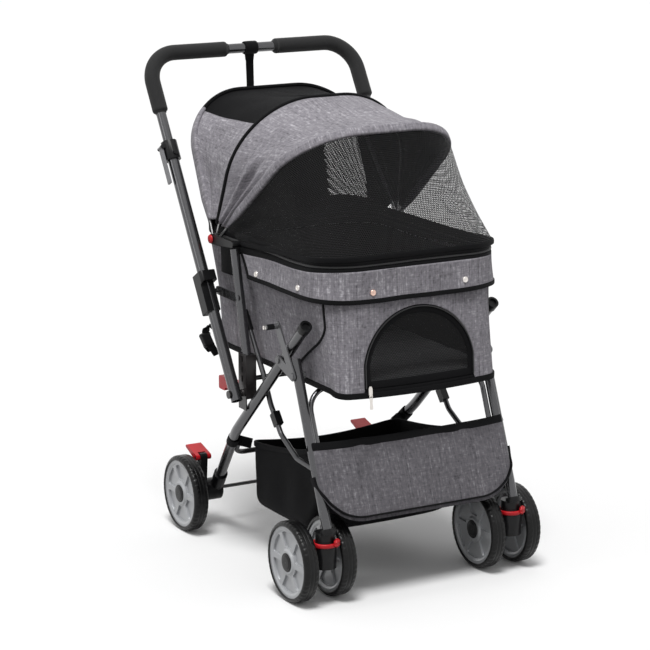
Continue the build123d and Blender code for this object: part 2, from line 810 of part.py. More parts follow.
# Brace fittings: a cap on each top end and a clip beside each rear leg
with BuildPart() as brace_clips:
    cap_start = run_plane(brace_right[0], brace_right[1])
    with BuildSketch(cap_start.offset(-2 * side_gap)):
        Circle(brace_cap_d / 2)
    extrude(amount=brace_cap_h)
    with BuildSketch(cap_start):
        Circle(thin_tube_d / 2 + running_gap)
    extrude(amount=brace_cap_h, mode=Mode.SUBTRACT)
    clip_run = Vector(*brace_right[3]) - Vector(*brace_right[2])
    clip_middle = (Vector(*brace_right[2]) + Vector(*brace_right[3])) / 2
    clip_outer_x = rear_leg_x - rear_leg_d / 2 - seat_gap
    with BuildSketch(Plane(origin=clip_middle, x_dir=(1, 0, 0), z_dir=clip_run)):
        with Locations(((clip_inner_x + clip_outer_x) / 2 - brace_x, 0)):
            Rectangle(clip_outer_x - clip_inner_x, clip_h)
        Circle(thin_tube_d / 2 + running_gap, mode=Mode.SUBTRACT)
    extrude(amount=clip_len / 2, both=True)
    mirror(about=Plane.YZ)
brace_clips.part.label = "brace_clips"
export_step(brace_clips.part, "parts/brace_clips.step")

# Front bar: a thin inverted U inside the front legs that carries the cabin's front
front_bar_x = leg_inner_x - thin_tube_d / 2 - seat_gap
front_bar_z = cabin_bottom_z - thin_tube_d / 2 - seat_gap
leg_slope = (front_leg_top[0] - front_leg_foot[0]) / (front_leg_top[1] - front_leg_foot[1])


def beside_leg(z):
    """Side-view point just behind the front leg's axis at a height."""
    return (front_leg_foot[0] + (z - front_leg_foot[1]) * leg_slope + front_bar_behind, z)


front_bar_half = [at_x(front_bar_x, beside_leg(front_bar_foot_z)), at_x(front_bar_x, beside_leg(front_bar_z))]
front_bar_other = [(-x, y, z) for x, y, z in reversed(front_bar_half)]
with BuildPart() as front_bar:
    add(tube(front_bar_half + front_bar_other, thin_tube_d, thin_wall, front_bar_bend))
front_bar.part.label = "front_bar"
export_step(front_bar.part, "parts/front_bar.step")

# Handle tubes, drilled for the pivot bolts
handle_foot = handle_plane.from_local_coords((handle_x, -handle_tail, 0))
handle_end = handle_plane.from_local_coords((handle_x, clamp_at, 0))
with BuildPart() as handle_tubes:
    add(tube([handle_foot, handle_end], handle_lower_d, handle_wall, 0))
    with BuildSketch(Plane.YZ.offset(handle_x)):
        with Locations(handle_pivot):
            Circle(pivot_bolt_d / 2 + running_gap)
    extrude(amount=handle_lower_d, both=True, mode=Mode.SUBTRACT)
    mirror(about=Plane.YZ)
handle_tubes.part.label = "handle_tubes"
export_step(handle_tubes.part, "parts/handle_tubes.step")

# Upper handle: one U-shaped tube that slides in the handle tubes
bar_corners = [(-handle_x, clamp_at - handle_insert), (-handle_x, handle_len)]
bar_corners += [(handle_x, handle_len), (handle_x, clamp_at - handle_insert)]
with BuildPart() as handle_bar:
    bar_points = [handle_plane.from_local_coords((x, d, 0)) for x, d in bar_corners]
    add(tube(bar_points, handle_upper_d, handle_wall, handle_bend_r))
handle_bar.part.label = "handle_bar"
export_step(handle_bar.part, "parts/handle_bar.step")

# Foam grips round the two bends
with BuildPart() as grips:
    grip_points = [(grip_bar_x, handle_len), (handle_x, handle_len), (handle_x, grip_leg_at)]
    with BuildLine() as grip_path:
        FilletPolyline(*[handle_plane.from_local_coords((x, d, 0)) for x, d in grip_points],
                       radius=handle_bend_r)
    with BuildSketch(Plane(origin=grip_path.line @ 0, z_dir=grip_path.line % 0)):
        Circle(grip_d / 2)
        Circle(handle_upper_d / 2 + running_gap, mode=Mode.SUBTRACT)
    sweep()
    mirror(about=Plane.YZ)
grips.part.label = "grips"
export_step(grips.part, "parts/grips.step")

# Strap that hangs from a clip at the middle of the bar
with BuildPart() as handle_strap:
    with BuildSketch(Plane.YZ):
        with Locations((bar_y, bar_z)):
            Circle(strap_clip_d / 2)
        with Locations((bar_y, bar_z - strap_len / 2)):
            Rectangle(strap_t, strap_len)
        with Locations((bar_y, bar_z)):
            Circle(handle_upper_d / 2 + running_gap, mode=Mode.SUBTRACT)
    extrude(amount=strap_w / 2, both=True)
handle_strap.part.label = "handle_strap"
export_step(handle_strap.part, "parts/handle_strap.step")

# Clamp collars on the tube ends, with two ears and a pin for the lever
collar_plane = Plane(origin=handle_plane.from_local_coords((handle_x, clamp_at, 0)),
                     z_dir=handle_plane.y_dir, x_dir=(1, 0, 0))
lever_plane = Plane(origin=handle_plane.from_local_coords((clamp_lever_x, clamp_at + clamp_lever_at, 0)),
                    z_dir=handle_plane.z_dir, x_dir=(1, 0, 0))
ear_inner = clamp_lever_w / 2 + soft_gap
with BuildPart() as clamp_collars:
    with BuildSketch(collar_plane):
        Circle(clamp_d / 2)
    extrude(amount=clamp_h / 2, both=True)
    for ear in (1, -1):
        with BuildSketch(lever_plane.offset(ear * ear_inner)):
            Circle(clamp_ear_r)
            with Locations((handle_x - clamp_lever_x + clamp_d / 4, 0)):
                Circle(clamp_ear_r)
            make_hull()
        extrude(amount=ear * clamp_ear_t)
    with BuildSketch(collar_plane.offset(-clamp_h / 2)):
        Circle(handle_lower_d / 2 + running_gap)
    extrude(amount=clamp_h / 2, mode=Mode.SUBTRACT)
    with BuildSketch(collar_plane):
        Circle(handle_upper_d / 2 + running_gap)
    extrude(amount=clamp_h / 2, mode=Mode.SUBTRACT)
    with BuildSketch(lever_plane.offset(-ear_inner - clamp_ear_t)):
        Circle(clamp_pin_d / 2)
    extrude(amount=2 * (ear_inner + clamp_ear_t))
    with BuildSketch(handle_plane.offset(clamp_d / 2 - side_gap)):
        with Locations((handle_x, clamp_at - clamp_h / 4)):
            Circle(clamp_knob_d / 2)
    extrude(amount=clamp_knob_h)
    mirror(about=Plane.YZ)
clamp_collars.part.label = "clamp_collars"
export_step(clamp_collars.part, "parts/clamp_collars.step")

# Clamp levers that lie along the tubes
with BuildPart() as clamp_lever_right:
    with BuildSketch(lever_plane):
        Circle(clamp_ear_r)
        with Locations((0, -clamp_lever_len / 2)):
            Rectangle(clamp_lever_t, clamp_lever_len)
        Circle(clamp_pin_d / 2 + running_gap, mode=Mode.SUBTRACT)
    extrude(amount=clamp_lever_w / 2, both=True)
for side in ("left", "right"):
    with BuildPart() as clamp_lever:
        add(on_side(side, clamp_lever_right.part))
    clamp_lever.part.label = f"clamp_lever_{side}"
    export_step(clamp_lever.part, f"parts/clamp_lever_{side}.step")

# Lock sleeves: rounded blocks on the handle tubes, relieved at the front and inside for the lock pins
sleeve_plane_low = Plane(origin=handle_plane.from_local_coords((handle_x, sleeve_from, 0)),
                         z_dir=handle_plane.y_dir, x_dir=(1, 0, 0))
with BuildPart() as lock_sleeve_right:
    with BuildSketch(sleeve_plane_low):
        with Locations((0, (sleeve_back - sleeve_front) / 2)):
            RectangleRounded(2 * sleeve_half_x, sleeve_front + sleeve_back, sleeve_round)
        Circle(handle_lower_d / 2 + seat_gap, mode=Mode.SUBTRACT)
    extrude(amount=sleeve_len)
    with BuildSketch(handle_plane.offset(handle_lower_d / 2)):
        with Locations((handle_x, sleeve_from)):
            RectangleRounded(2 * sleeve_half_x + side_gap, 2 * sleeve_relief, sleeve_arch_round)
    extrude(amount=sleeve_front, mode=Mode.SUBTRACT)
    with BuildSketch(Plane.YZ.offset(handle_inner_x + soft_gap)):
        with Locations(turned(handle_pivot, sleeve_from, handle_lean)):
            Rectangle(2 * sleeve_front + 2 * sleeve_back, 2 * sleeve_relief, rotation=-handle_lean)
    extrude(amount=-sleeve_half_x, mode=Mode.SUBTRACT)
for side in ("left", "right"):
    with BuildPart() as lock_sleeve:
        add(on_side(side, lock_sleeve_right.part))
    lock_sleeve.part.label = f"lock_sleeve_{side}"
    export_step(lock_sleeve.part, f"parts/lock_sleeve_{side}.step")

# Cabin shell: an open tub, drawn in towards the floor, with an arched doorway in front
wall_rise = cabin_top_z - cabin_bottom_z
wall_run = cabin_top_front - cabin_bottom_front
door_plane = Plane(origin=(0, cabin_bottom_front, cabin_bottom_z), x_dir=(1, 0, 0),
                   z_dir=(0, -wall_rise, wall_run))


def doorway(inset):
    """Arched outline on the front wall, inset from the opening."""
    half = door_half - inset
    foot = door_foot + inset
    spring = door_foot + door_leg_h
    with BuildSketch() as outline:
        with BuildLine():
            Polyline((-half, spring), (-half, foot), (half, foot), (half, spring))
            ThreePointArc((half, spring), (0, door_top - inset), (-half, spring))
        make_face()
    return outline.sketch


opening = doorway(0)
flap = doorway(door_gap)
with BuildPart() as cabin_shell:
    with BuildSketch(Plane.XY.offset(cabin_bottom_z)):
        rounded_box(cabin_bottom_half, cabin_bottom_front, cabin_bottom_rear, cabin_bottom_round)
    with BuildSketch(Plane.XY.offset(cabin_top_z)):
        rounded_box(cabin_top_half, cabin_top_front, cabin_top_rear, cabin_top_round)
    loft()
    floor_z = cabin_bottom_z + cabin_wall
    with BuildSketch(Plane.XY.offset(floor_z)):
        rounded_box(cabin_bottom_half - cabin_wall, cabin_bottom_front + cabin_wall,
                    cabin_bottom_rear - cabin_wall, cabin_bottom_round - cabin_wall)
    with BuildSketch(Plane.XY.offset(cabin_top_z)):
        rounded_box(cabin_top_half - cabin_wall, cabin_top_front + cabin_wall,
                    cabin_top_rear - cabin_wall, cabin_top_round - cabin_wall)
    loft(mode=Mode.SUBTRACT)
    with BuildSketch(door_plane):
        add(opening)
    extrude(amount=3 * cabin_wall, both=True, mode=Mode.SUBTRACT)
cabin_shell.part.label = "cabin_shell"
export_step(cabin_shell.part, "parts/cabin_shell.step")

# Door: an arched mesh flap that hinges on its lower edge
with BuildPart() as door_panel:
    with BuildSketch(door_plane.offset(-(cabin_wall + door_t) / 2)):
        add(flap)
    extrude(amount=door_t)
door_panel.part.label = "door_panel"
export_step(door_panel.part, "parts/door_panel.step")

# Floor board and mat
board_z = floor_z + seat_gap
with BuildPart() as floor_board:
    with BuildSketch(Plane.XY.offset(board_z)):
        rounded_box(cabin_bottom_half - cabin_wall - soft_gap, cabin_bottom_front + 2 * cabin_wall,
                    cabin_bottom_rear - cabin_wall - soft_gap, cabin_bottom_round - cabin_wall)
    extrude(amount=floor_board_t)
floor_board.part.label = "floor_board"
export_step(floor_board.part, "parts/floor_board.step")
with BuildPart() as floor_mat:
    with BuildSketch(Plane.XY.offset(board_z + floor_board_t + seat_gap)):
        rounded_box(cabin_bottom_half - cabin_wall - soft_gap, cabin_bottom_front + 3 * cabin_wall,
                    cabin_bottom_rear - cabin_wall - soft_gap, cabin_bottom_round - cabin_wall)
    extrude(amount=floor_mat_t)
    fillet(floor_mat.edges().group_by(Axis.Z)[-1], radius=mat_round)
floor_mat.part.label = "floor_mat"
export_step(floor_mat.part, "parts/floor_mat.step")

# Top frame: a closed ring of tube inside the zip band
ring_set = top_frame_d / 2 + seat_gap
ring_half = cabin_top_half - ring_set
ring_front = cabin_top_front + ring_set
ring_rear = cabin_top_rear - ring_set
with BuildPart() as top_frame:
    with BuildLine(Plane.XY.offset(boss_at[1])) as ring_path:
        FilletPolyline((ring_half, ring_front), (ring_half, ring_rear), (-ring_half, ring_rear),
                       (-ring_half, ring_front), radius=cabin_top_round - ring_set, close=True)
    with BuildSketch(Plane(origin=ring_path.line @ 0, z_dir=ring_path.line % 0)):
        Circle(top_frame_d / 2)
    sweep()
top_frame.part.label = "top_frame"
export_step(top_frame.part, "parts/top_frame.step")

# Zip band round the cabin's top, with a hole for each bracket boss
with BuildPart() as rim_band:
    with BuildSketch(Plane.XY.offset(rim_z)):
        rounded_box(rim_half, cabin_top_front - rim_t, cabin_top_rear + rim_t, cabin_top_round + rim_t)
    extrude(amount=rim_h)
    with BuildSketch(Plane.XY.offset(rim_z)):
        rounded_box(cabin_top_half, cabin_top_front, cabin_top_rear, cabin_top_round)
    extrude(amount=rim_h, mode=Mode.SUBTRACT)
    with BuildSketch(Plane.YZ):
        with Locations(boss_at):
            Circle(boss_d / 2 + soft_gap)
    extrude(amount=rim_half + rim_t, both=True, mode=Mode.SUBTRACT)
rim_band.part.label = "rim_band"
export_step(rim_band.part, "parts/rim_band.step")

# Valance: a flap that hangs outside the shell from the zip band, open at the rear
valance_set = rim_t + soft_gap
with BuildPart() as valance:
    with BuildSketch(Plane.XY.offset(valance_bottom)):
        rounded_box(cabin_top_half + valance_set + valance_t, cabin_top_front - valance_set - valance_t,
                    cabin_top_rear + valance_set + valance_t, cabin_top_round + valance_set + valance_t)
    extrude(amount=rim_z + valance_lap - valance_bottom)
    with BuildSketch(Plane.XY.offset(valance_bottom)):
        rounded_box(cabin_top_half + valance_set, cabin_top_front - valance_set,
                    cabin_top_rear + valance_set, cabin_top_round + valance_set)
    extrude(amount=rim_z + valance_lap - valance_bottom, mode=Mode.SUBTRACT)
    with BuildSketch(Plane.XY.offset(valance_bottom)):
        with Locations((0, valance_rear + overall_length / 2)):
            Rectangle(overall_width, overall_length)
    extrude(amount=rim_z + valance_lap - valance_bottom, mode=Mode.SUBTRACT)
valance.part.label = "valance"
export_step(valance.part, "parts/valance.step")

# Canopy brackets: a boss through the zip band, a side plate and the canopy's pivot pin
with BuildPart() as canopy_brackets:
    with BuildSketch(Plane.YZ.offset(canopy_plate_x)):
        with Locations(boss_at):
            Circle(boss_d / 2)
        with Locations(canopy_pivot):
            Circle(bracket_pivot_r)
        make_hull()
    extrude(amount=bracket_t)
    with BuildSketch(Plane.YZ.offset(canopy_plate_x)):
        with Locations(boss_at):
            Circle(boss_d / 2)
    extrude(amount=-(canopy_plate_x - ring_half - top_frame_d / 2 - seat_gap))
    with BuildSketch(Plane.YZ.offset(canopy_plate_x)):
        with Locations(canopy_pivot):
            Circle(canopy_pin_d / 2)
    extrude(amount=-(canopy_plate_x - front_bow_x + bow_hub_t / 2))
    with BuildSketch(Plane.YZ.offset(canopy_plate_x + bracket_t)):
        with Locations(canopy_pivot):
            Circle(canopy_pin_head_d / 2)
    extrude(amount=canopy_pin_head_h)
    mirror(about=Plane.YZ)
canopy_brackets.part.label = "canopy_brackets"
export_step(canopy_brackets.part, "parts/canopy_brackets.step")


def bow(half, lean, reach, top_half, corner):
    """Canopy bow: a rod bent to an arch, with a bored disc on each foot."""
    plane = leaning_plane(canopy_pivot, lean)
    foot = bow_hub_d / 2 - side_gap
    with BuildPart() as made:
        with BuildLine(plane) as arch:
            FilletPolyline((-half, foot), (-top_half, reach), (top_half, reach), (half, foot), radius=corner)
        with BuildSketch(Plane(origin=arch.line @ 0, z_dir=arch.line % 0)):
            Circle(bow_d / 2)
        sweep()
        for foot_x in (-half, half):
            with BuildSketch(Plane.YZ.offset(foot_x)):
                with Locations(canopy_pivot):
                    Circle(bow_hub_d / 2)
            extrude(amount=bow_hub_t / 2, both=True)
        with BuildSketch(Plane.YZ):
            with Locations(canopy_pivot):
                Circle(canopy_pin_d / 2 + running_gap)
        extrude(amount=half + bow_hub_t, both=True, mode=Mode.SUBTRACT)
    return made.part


with BuildPart() as rear_bow:
    add(bow(bow_x["rear"], rear_bow_lean, rear_bow_reach, rear_bow_top, rear_bow_round))
rear_bow.part.label = "rear_bow"
export_step(rear_bow.part, "parts/rear_bow.step")
with BuildPart() as mid_bow:
    add(bow(bow_x["mid"], mid_bow_lean, mid_bow_reach, mid_bow_top, mid_bow_round))
mid_bow.part.label = "mid_bow"
export_step(mid_bow.part, "parts/mid_bow.step")
with BuildPart() as front_bow:
    add(bow(bow_x["front"], front_bow_lean, front_bow_reach, front_bow_top, front_bow_round))
front_bow.part.label = "front_bow"
export_step(front_bow.part, "parts/front_bow.step")


def cloth_edge(half, reach, top_half, corner, start):
    """Edge of a canopy panel: a thin arched band just outside a bow, from a start along its legs."""
    out = bow_d / 2 + cloth_gap
    start_half = half + (top_half - half) * start / reach
    with BuildSketch() as edge:
        with BuildLine():
            band = []
            for grow in (out, out + panel_t):
                band.append(FilletPolyline((-start_half - grow, start), (-top_half - grow, reach + grow),
                                           (top_half + grow, reach + grow), (start_half + grow, start),
                                           radius=corner + grow))
            Line(band[0] @ 0, band[1] @ 0)
            Line(band[0] @ 1, band[1] @ 1)
        make_face()
    return edge.sketch


rear_edge = cloth_edge(bow_x["rear"], rear_bow_reach, rear_bow_top, rear_bow_round, panel_start)
mid_edge = cloth_edge(bow_x["mid"], mid_bow_reach, mid_bow_top, mid_bow_round, panel_start)
front_edge = cloth_edge(bow_x["front"], front_bow_reach, front_bow_top, front_bow_round, panel_start)
hem_edge = cloth_edge(rim_half, mesh_hem_reach, rim_half, mesh_hem_round, mesh_start)

# Canopy panels, each drawn from one bow's edge to the next
with BuildPart() as canopy_rear:
    with BuildSketch(leaning_plane(canopy_pivot, rear_bow_lean)):
        add(rear_edge)
    with BuildSketch(leaning_plane(canopy_pivot, mid_bow_lean + panel_part)):
        add(mid_edge)
    loft()
canopy_rear.part.label = "canopy_rear"
export_step(canopy_rear.part, "parts/canopy_rear.step")
with BuildPart() as canopy_front:
    with BuildSketch(leaning_plane(canopy_pivot, mid_bow_lean - panel_part)):
        add(mid_edge)
    with BuildSketch(leaning_plane(canopy_pivot, front_bow_lean + panel_part)):
        add(front_edge)
    loft()
canopy_front.part.label = "canopy_front"
export_step(canopy_front.part, "parts/canopy_front.step")
with BuildPart() as mesh_window:
    with BuildSketch(leaning_plane(canopy_pivot, front_bow_lean - panel_part)):
        add(front_edge)
    with BuildSketch(leaning_plane(canopy_pivot, mesh_hem_lean)):
        add(hem_edge)
    loft()
mesh_window.part.label = "mesh_window"
export_step(mesh_window.part, "parts/mesh_window.step")

# Basket: an open bag whose floor rises at the front to clear the casters
basket_front_y = brace_side[-1][0] + thin_tube_d / 2 + seat_gap


def bag_outline(inset, lift):
    """Side-view corners of the bag, inset from its outside and lifted at the mouth."""
    return [
        (basket_rear - inset, basket_rear_z + lift),
        (basket_rear - inset, basket_bottom_z + inset),
        (basket_slope_rear + inset / 2, basket_bottom_z + inset),
        (basket_slope_front + inset / 2, basket_front_low_z + inset),
        (basket_front_y + inset, basket_front_low_z + inset),
        (basket_front_y + inset, basket_front_z + lift),
    ]


with BuildPart() as basket:
    for inset, lift, mode in ((0, 0, Mode.ADD), (basket_wall, 2 * basket_wall, Mode.SUBTRACT)):
        with BuildSketch(Plane.YZ):
            with BuildLine():
                Polyline(*bag_outline(inset, lift), close=True)
            make_face()
        extrude(amount=basket_half - inset, both=True, mode=mode)
basket.part.label = "basket"
export_step(basket.part, "parts/basket.step")

# Front panel of the basket, lying on the front legs, its lower corners swept up over the casters
panel_lean = degrees(atan2(front_leg_top[0] - front_leg_foot[0], front_leg_top[1] - front_leg_foot[1]))
panel_plane = leaning_plane(front_leg_foot, panel_lean)
panel_top, panel_side, panel_low = [
    (z - front_leg_foot[1]) / cos(radians(panel_lean))
    for z in (front_panel_top, front_panel_side_z, front_panel_bottom)
]
with BuildPart() as basket_front:
    with BuildSketch(panel_plane.offset(front_leg_d / 2 + soft_gap)):
        with BuildLine():
            Polyline((front_panel_half, panel_side), (front_panel_half, panel_top),
                     (-front_panel_half, panel_top), (-front_panel_half, panel_side))
            EllipticalCenterArc((-front_panel_flat, panel_side), front_panel_half - front_panel_flat,
                                panel_side - panel_low, start_angle=180, arc_size=90)
            Line((-front_panel_flat, panel_low), (front_panel_flat, panel_low))
            EllipticalCenterArc((front_panel_flat, panel_side), front_panel_half - front_panel_flat,
                                panel_side - panel_low, start_angle=270, arc_size=90)
        make_face()
    extrude(amount=front_panel_t)
basket_front.part.label = "basket_front"
export_step(basket_front.part, "parts/basket_front.step")
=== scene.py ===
import math

import bpy
import numpy as np
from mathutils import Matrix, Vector


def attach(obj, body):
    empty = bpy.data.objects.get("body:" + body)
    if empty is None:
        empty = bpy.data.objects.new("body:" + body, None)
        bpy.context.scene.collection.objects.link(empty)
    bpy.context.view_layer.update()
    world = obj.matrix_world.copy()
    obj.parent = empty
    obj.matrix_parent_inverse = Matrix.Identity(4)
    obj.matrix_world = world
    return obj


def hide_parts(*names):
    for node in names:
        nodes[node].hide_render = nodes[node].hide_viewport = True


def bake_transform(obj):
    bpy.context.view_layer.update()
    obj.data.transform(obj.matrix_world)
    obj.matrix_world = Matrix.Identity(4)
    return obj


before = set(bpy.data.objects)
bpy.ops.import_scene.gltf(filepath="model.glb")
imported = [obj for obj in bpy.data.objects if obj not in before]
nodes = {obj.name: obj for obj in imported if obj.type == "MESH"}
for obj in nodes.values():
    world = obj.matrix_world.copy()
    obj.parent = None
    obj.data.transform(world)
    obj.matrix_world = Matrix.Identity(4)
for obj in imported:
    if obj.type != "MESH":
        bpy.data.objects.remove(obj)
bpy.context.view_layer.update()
mm = 0.001  # meshes are sized in millimetres and scaled once as they are filled; finishes are in metres
turn, quarter = 2 * math.pi, math.pi / 2
print("frame loaded,", len(nodes), "nodes")


class Wire:
    # one output of a shader node; sums on it add Math nodes
    def __init__(self, tree, out=None):
        self.tree, self.out = tree, out

    def node(self, kind, settings=None, inputs=None, take=0):
        made = self.tree.nodes.new("ShaderNode" + kind)
        for key, value in (settings or {}).items():
            setattr(made, key, value)
        for key, value in (inputs or {}).items():
            if isinstance(value, Wire):
                self.tree.links.new(value.out, made.inputs[key])
            else:
                made.inputs[key].default_value = value
        return Wire(self.tree, made.outputs[take])

    def calc(self, operation, *terms):
        return self.node("Math", {"operation": operation}, dict(enumerate(terms)))

    def __add__(self, other): return self.calc("ADD", self, other)
    def __sub__(self, other): return self.calc("SUBTRACT", self, other)
    def __rsub__(self, other): return self.calc("SUBTRACT", other, self)
    def __mul__(self, other): return self.calc("MULTIPLY", self, other)
    def __pow__(self, other): return self.calc("POWER", self, other)

    def wave(self, length): return self.calc("SINE", self * (turn / length))

    def folded(self, length):  # distance from the nearest multiple of length
        return self.calc("ABSOLUTE", self.calc("WRAP", self, length / 2, -length / 2))

    def over(self, low, high):  # 0 below low, 1 above high, smooth between
        return self.node("MapRange", {"interpolation_type": "SMOOTHSTEP"},
                         {"Value": self, "From Min": low, "From Max": high})

    def blend(self, dark, light):  # colour between two, by this value
        dark, light = (c if isinstance(c, Wire) else (*c, 1) for c in (dark, light))
        return self.node("Mix", {"data_type": "RGBA"}, {0: self, 6: dark, 7: light}, 2)


def onObject(w):
    # a point's own place on the object, in metres
    return w.node("TexCoord", take="Object")


def onCut(w):
    # the cut's own measure in metres: as a vector, along it and across it
    cut = w.node("UVMap", {"uv_map": "cut"})
    split = w.node("SeparateXYZ", None, {0: cut}).out.node.outputs
    return cut, Wire(w.tree, split[0]), Wire(w.tree, split[1])


def noise(w, vector, scale, detail=2.0, rough=0.5):
    # cloudy values from 0 to 1; a cloud is about a metre divided by the scale across
    return w.node("TexNoise", None, {"Vector": vector, "Scale": scale, "Detail": detail, "Roughness": rough})


def drawn(w, vector, scale, detail=2.0, rough=0.5, size=1):
    # noise drawn out by a scale of its own along each axis
    return noise(w, w.node("Mapping", None, {"Vector": vector, "Scale": scale}), size, detail, rough)


def makeFinish(name, constants, build, *looks, **named):
    # a material: plain values on the shader, and the wires that a builder gives; its height goes through a bump
    made = bpy.data.materials.new(name)
    made.use_nodes = True
    tree = made.node_tree
    shader = tree.nodes["Principled BSDF"]
    for key, value in constants.items():
        shader.inputs[key].default_value = value
    w = Wire(tree)
    for key, value in build(w, *looks, **named).items():
        if key == "Height":
            key, value = "Normal", w.node("Bump", None, {"Height": value[0], "Strength": 1.0, "Distance": value[1]})
        tree.links.new(value.out, shader.inputs[key])
    return made


def paintedTube(w, colour, fleck, gloss):
    # powder coat: fine flecks, faint cloudy gloss, tiny orange-peel bumps
    place = onObject(w)
    speck = noise(w, place, 2600, 1).over(0.52, 0.72)
    cloud = noise(w, place, 18, 3)
    scuff = drawn(w, place, (1, 1, 0.12), 4, size=420).over(0.62, 0.75)
    peel = noise(w, place, 900, 2)
    return {"Base Color": (speck * 0.55 + scuff * 0.25).blend(colour, fleck),
            "Roughness": cloud * 0.16 + scuff * 0.12 + (gloss - 0.08), "Height": (peel, 0.00006)}


def mouldedPlastic(w, colour, worn, gloss):
    # spark-eroded grain with slightly paler rubbed patches
    place = onObject(w)
    grain = noise(w, place, 1400, 3, 0.6)
    rub = noise(w, place, 34, 4).over(0.5, 0.8)
    return {"Base Color": (rub * 0.55 + grain * 0.25).blend(colour, worn),
            "Roughness": grain * 0.18 + rub * 0.06 + (gloss - 0.1), "Height": (grain, 0.00008)}


def stitchLine(u, v, place):
    # dashes 2.6 mm long every 3.6 mm along u, at one place across v
    run = 1 - u.folded(0.0036).over(0.0012, 0.0015)
    return (1 - v.calc("ABSOLUTE", v - place).over(0.00035, 0.0006)) * run


def heatherLinen(w, dark, mid, light, stitchAt=None):
    # crossed yarns of three greys: streaks both ways on the cut, longer up and down, a plain weave on top
    cut, u, v = onCut(w)
    warp = drawn(w, cut, (430, 19, 1), 3, 0.6)
    weft = drawn(w, cut, (34, 460, 1), 3, 0.6)
    slub = drawn(w, cut, (170, 120, 1), 3, 0.65)
    cloud = drawn(w, cut, (16, 9, 1), 2)
    streak = drawn(w, cut, (95, 4, 1), 3, 0.6)
    yarn = warp * 0.38 + weft * 0.26 + slub * 0.52 + streak * 0.2 + cloud * 0.14 - 0.25
    tone = yarn.over(0.3, 0.5).blend(dark, mid)
    tone = (yarn.over(0.5, 0.72) * 0.85).blend(tone, light)
    weave = u.wave(0.0011) * v.wave(0.0011)
    height = weave * 0.35 + warp * 0.9 + weft * 0.9
    if stitchAt:
        dash = stitchLine(u, v, stitchAt)
        tone = (dash * 0.7).blend(tone, dark)
        height = height - dash * 1.2
    return {"Base Color": tone, "Roughness": slub * 0.15 + 0.78, "Height": (height, 0.00024)}


def plainWeave(w, dark, light, pitch):
    # plain weave of one yarn: basket-work bumps with dusty, paler yarns here and there
    cut, u, v = onCut(w)
    dust = drawn(w, cut, (240, 240, 1), 3, 0.6)
    cloud = drawn(w, cut, (12, 12, 1), 2)
    weave = u.wave(pitch) * v.wave(pitch)
    return {"Base Color": (dust * 0.6 + cloud * 0.5 - 0.2).blend(dark, light),
            "Height": (weave * 0.5 + dust * 0.7, 0.00025), "Roughness": dust * 0.2 + 0.68}


def ribbedTape(w, dark, light, pitch):
    # grosgrain: round ribs across the tape, fine threads along it
    cut, u, _ = onCut(w)
    dust = drawn(w, cut, (300, 900, 1), 3, 0.6)
    rib = u.wave(pitch)
    return {"Base Color": (rib * 0.25 + dust * 0.6).blend(dark, light),
            "Roughness": dust * 0.2 + 0.6, "Height": (rib * 0.6 + dust * 0.5, 0.0003)}


def openMesh(w, pitch, hole):
    # warp-knit net: round holes on a staggered grid; a point is open where the nearest hole's centre is close
    cut, u, v = onCut(w)
    step = pitch * mm
    rise = step * math.sqrt(3)
    near = None
    for shift in (0.0, 0.5):
        du, dv = (u + shift * step).folded(step), (v + shift * rise).folded(rise)
        reach = (du * du + dv * dv) ** 0.5
        near = reach if near is None else near.calc("MINIMUM", near, reach)
    edge = hole * step
    thread = near.over(edge * 0.86, edge * 1.1)
    fibre = drawn(w, cut, (1800, 1800, 1), 2)
    return {"Base Color": fibre.blend((0.006, 0.006, 0.0065), (0.034, 0.034, 0.035)),
            "Roughness": fibre * 0.2 + 0.5, "Alpha": thread, "Height": (near, 0.4)}


def zipCoil(w):
    # nylon coil: fine slanted teeth along u
    cut, u, v = onCut(w)
    teeth = (u + v * 0.35).wave(0.0021)
    dust = drawn(w, cut, (500, 500, 1), 2)
    return {"Base Color": (teeth * 0.3 + dust * 0.4).blend((0.008, 0.008, 0.009), (0.05, 0.05, 0.052)),
            "Roughness": dust * 0.2 + 0.35, "Height": (teeth, 0.0004)}


def rimPlastic(w):
    # silver-grey moulding: cloudy tone, fine grain, soft gloss
    place = onObject(w)
    grain, cloud = noise(w, place, 1100, 2), noise(w, place, 22, 3)
    return {"Base Color": (cloud * 0.7 + grain * 0.3).blend((0.36, 0.37, 0.385), (0.52, 0.53, 0.545)),
            "Roughness": cloud * 0.14 + grain * 0.1 + 0.22, "Height": (grain, 0.00004)}


def tyreRubber(w):
    # rubber with a dry, dusty bloom and moulding grain
    place = onObject(w)
    grain, bloom = noise(w, place, 1300, 3), noise(w, place, 40, 4).over(0.45, 0.8)
    return {"Base Color": (bloom * 0.6 + grain * 0.2).blend((0.004, 0.004, 0.004), (0.013, 0.013, 0.014)),
            "Roughness": grain * 0.12 + bloom * 0.14 + 0.22, "Height": (grain, 0.00008)}


def foamCells(w):
    # closed-cell foam: small rounded pits
    place = onObject(w)
    cells = w.node("TexVoronoi", None, {"Vector": place, "Scale": 900})
    cloud = noise(w, place, 45, 3)
    return {"Base Color": (cells * 0.6 + cloud * 0.4).blend((0.006, 0.006, 0.006), (0.026, 0.026, 0.027)),
            "Roughness": cloud * 0.15 + 0.72, "Height": (cells, 0.0003)}


def polish(w, dark, light):
    # plated pressing: fine scratches
    scratch = drawn(w, onObject(w), (3000, 300, 900), 3)
    return {"Base Color": scratch.blend(dark, light), "Roughness": scratch * 0.25 + 0.16,
            "Height": (scratch, 0.00003)}


def pressedBoard(w):
    # pressed fibre board: long fibres one way
    fibre = drawn(w, onObject(w), (240, 900, 900), 4, 0.65)
    return {"Base Color": fibre.blend((0.02, 0.018, 0.016), (0.09, 0.08, 0.07)),
            "Roughness": fibre * 0.2 + 0.65, "Height": (fibre, 0.0003)}


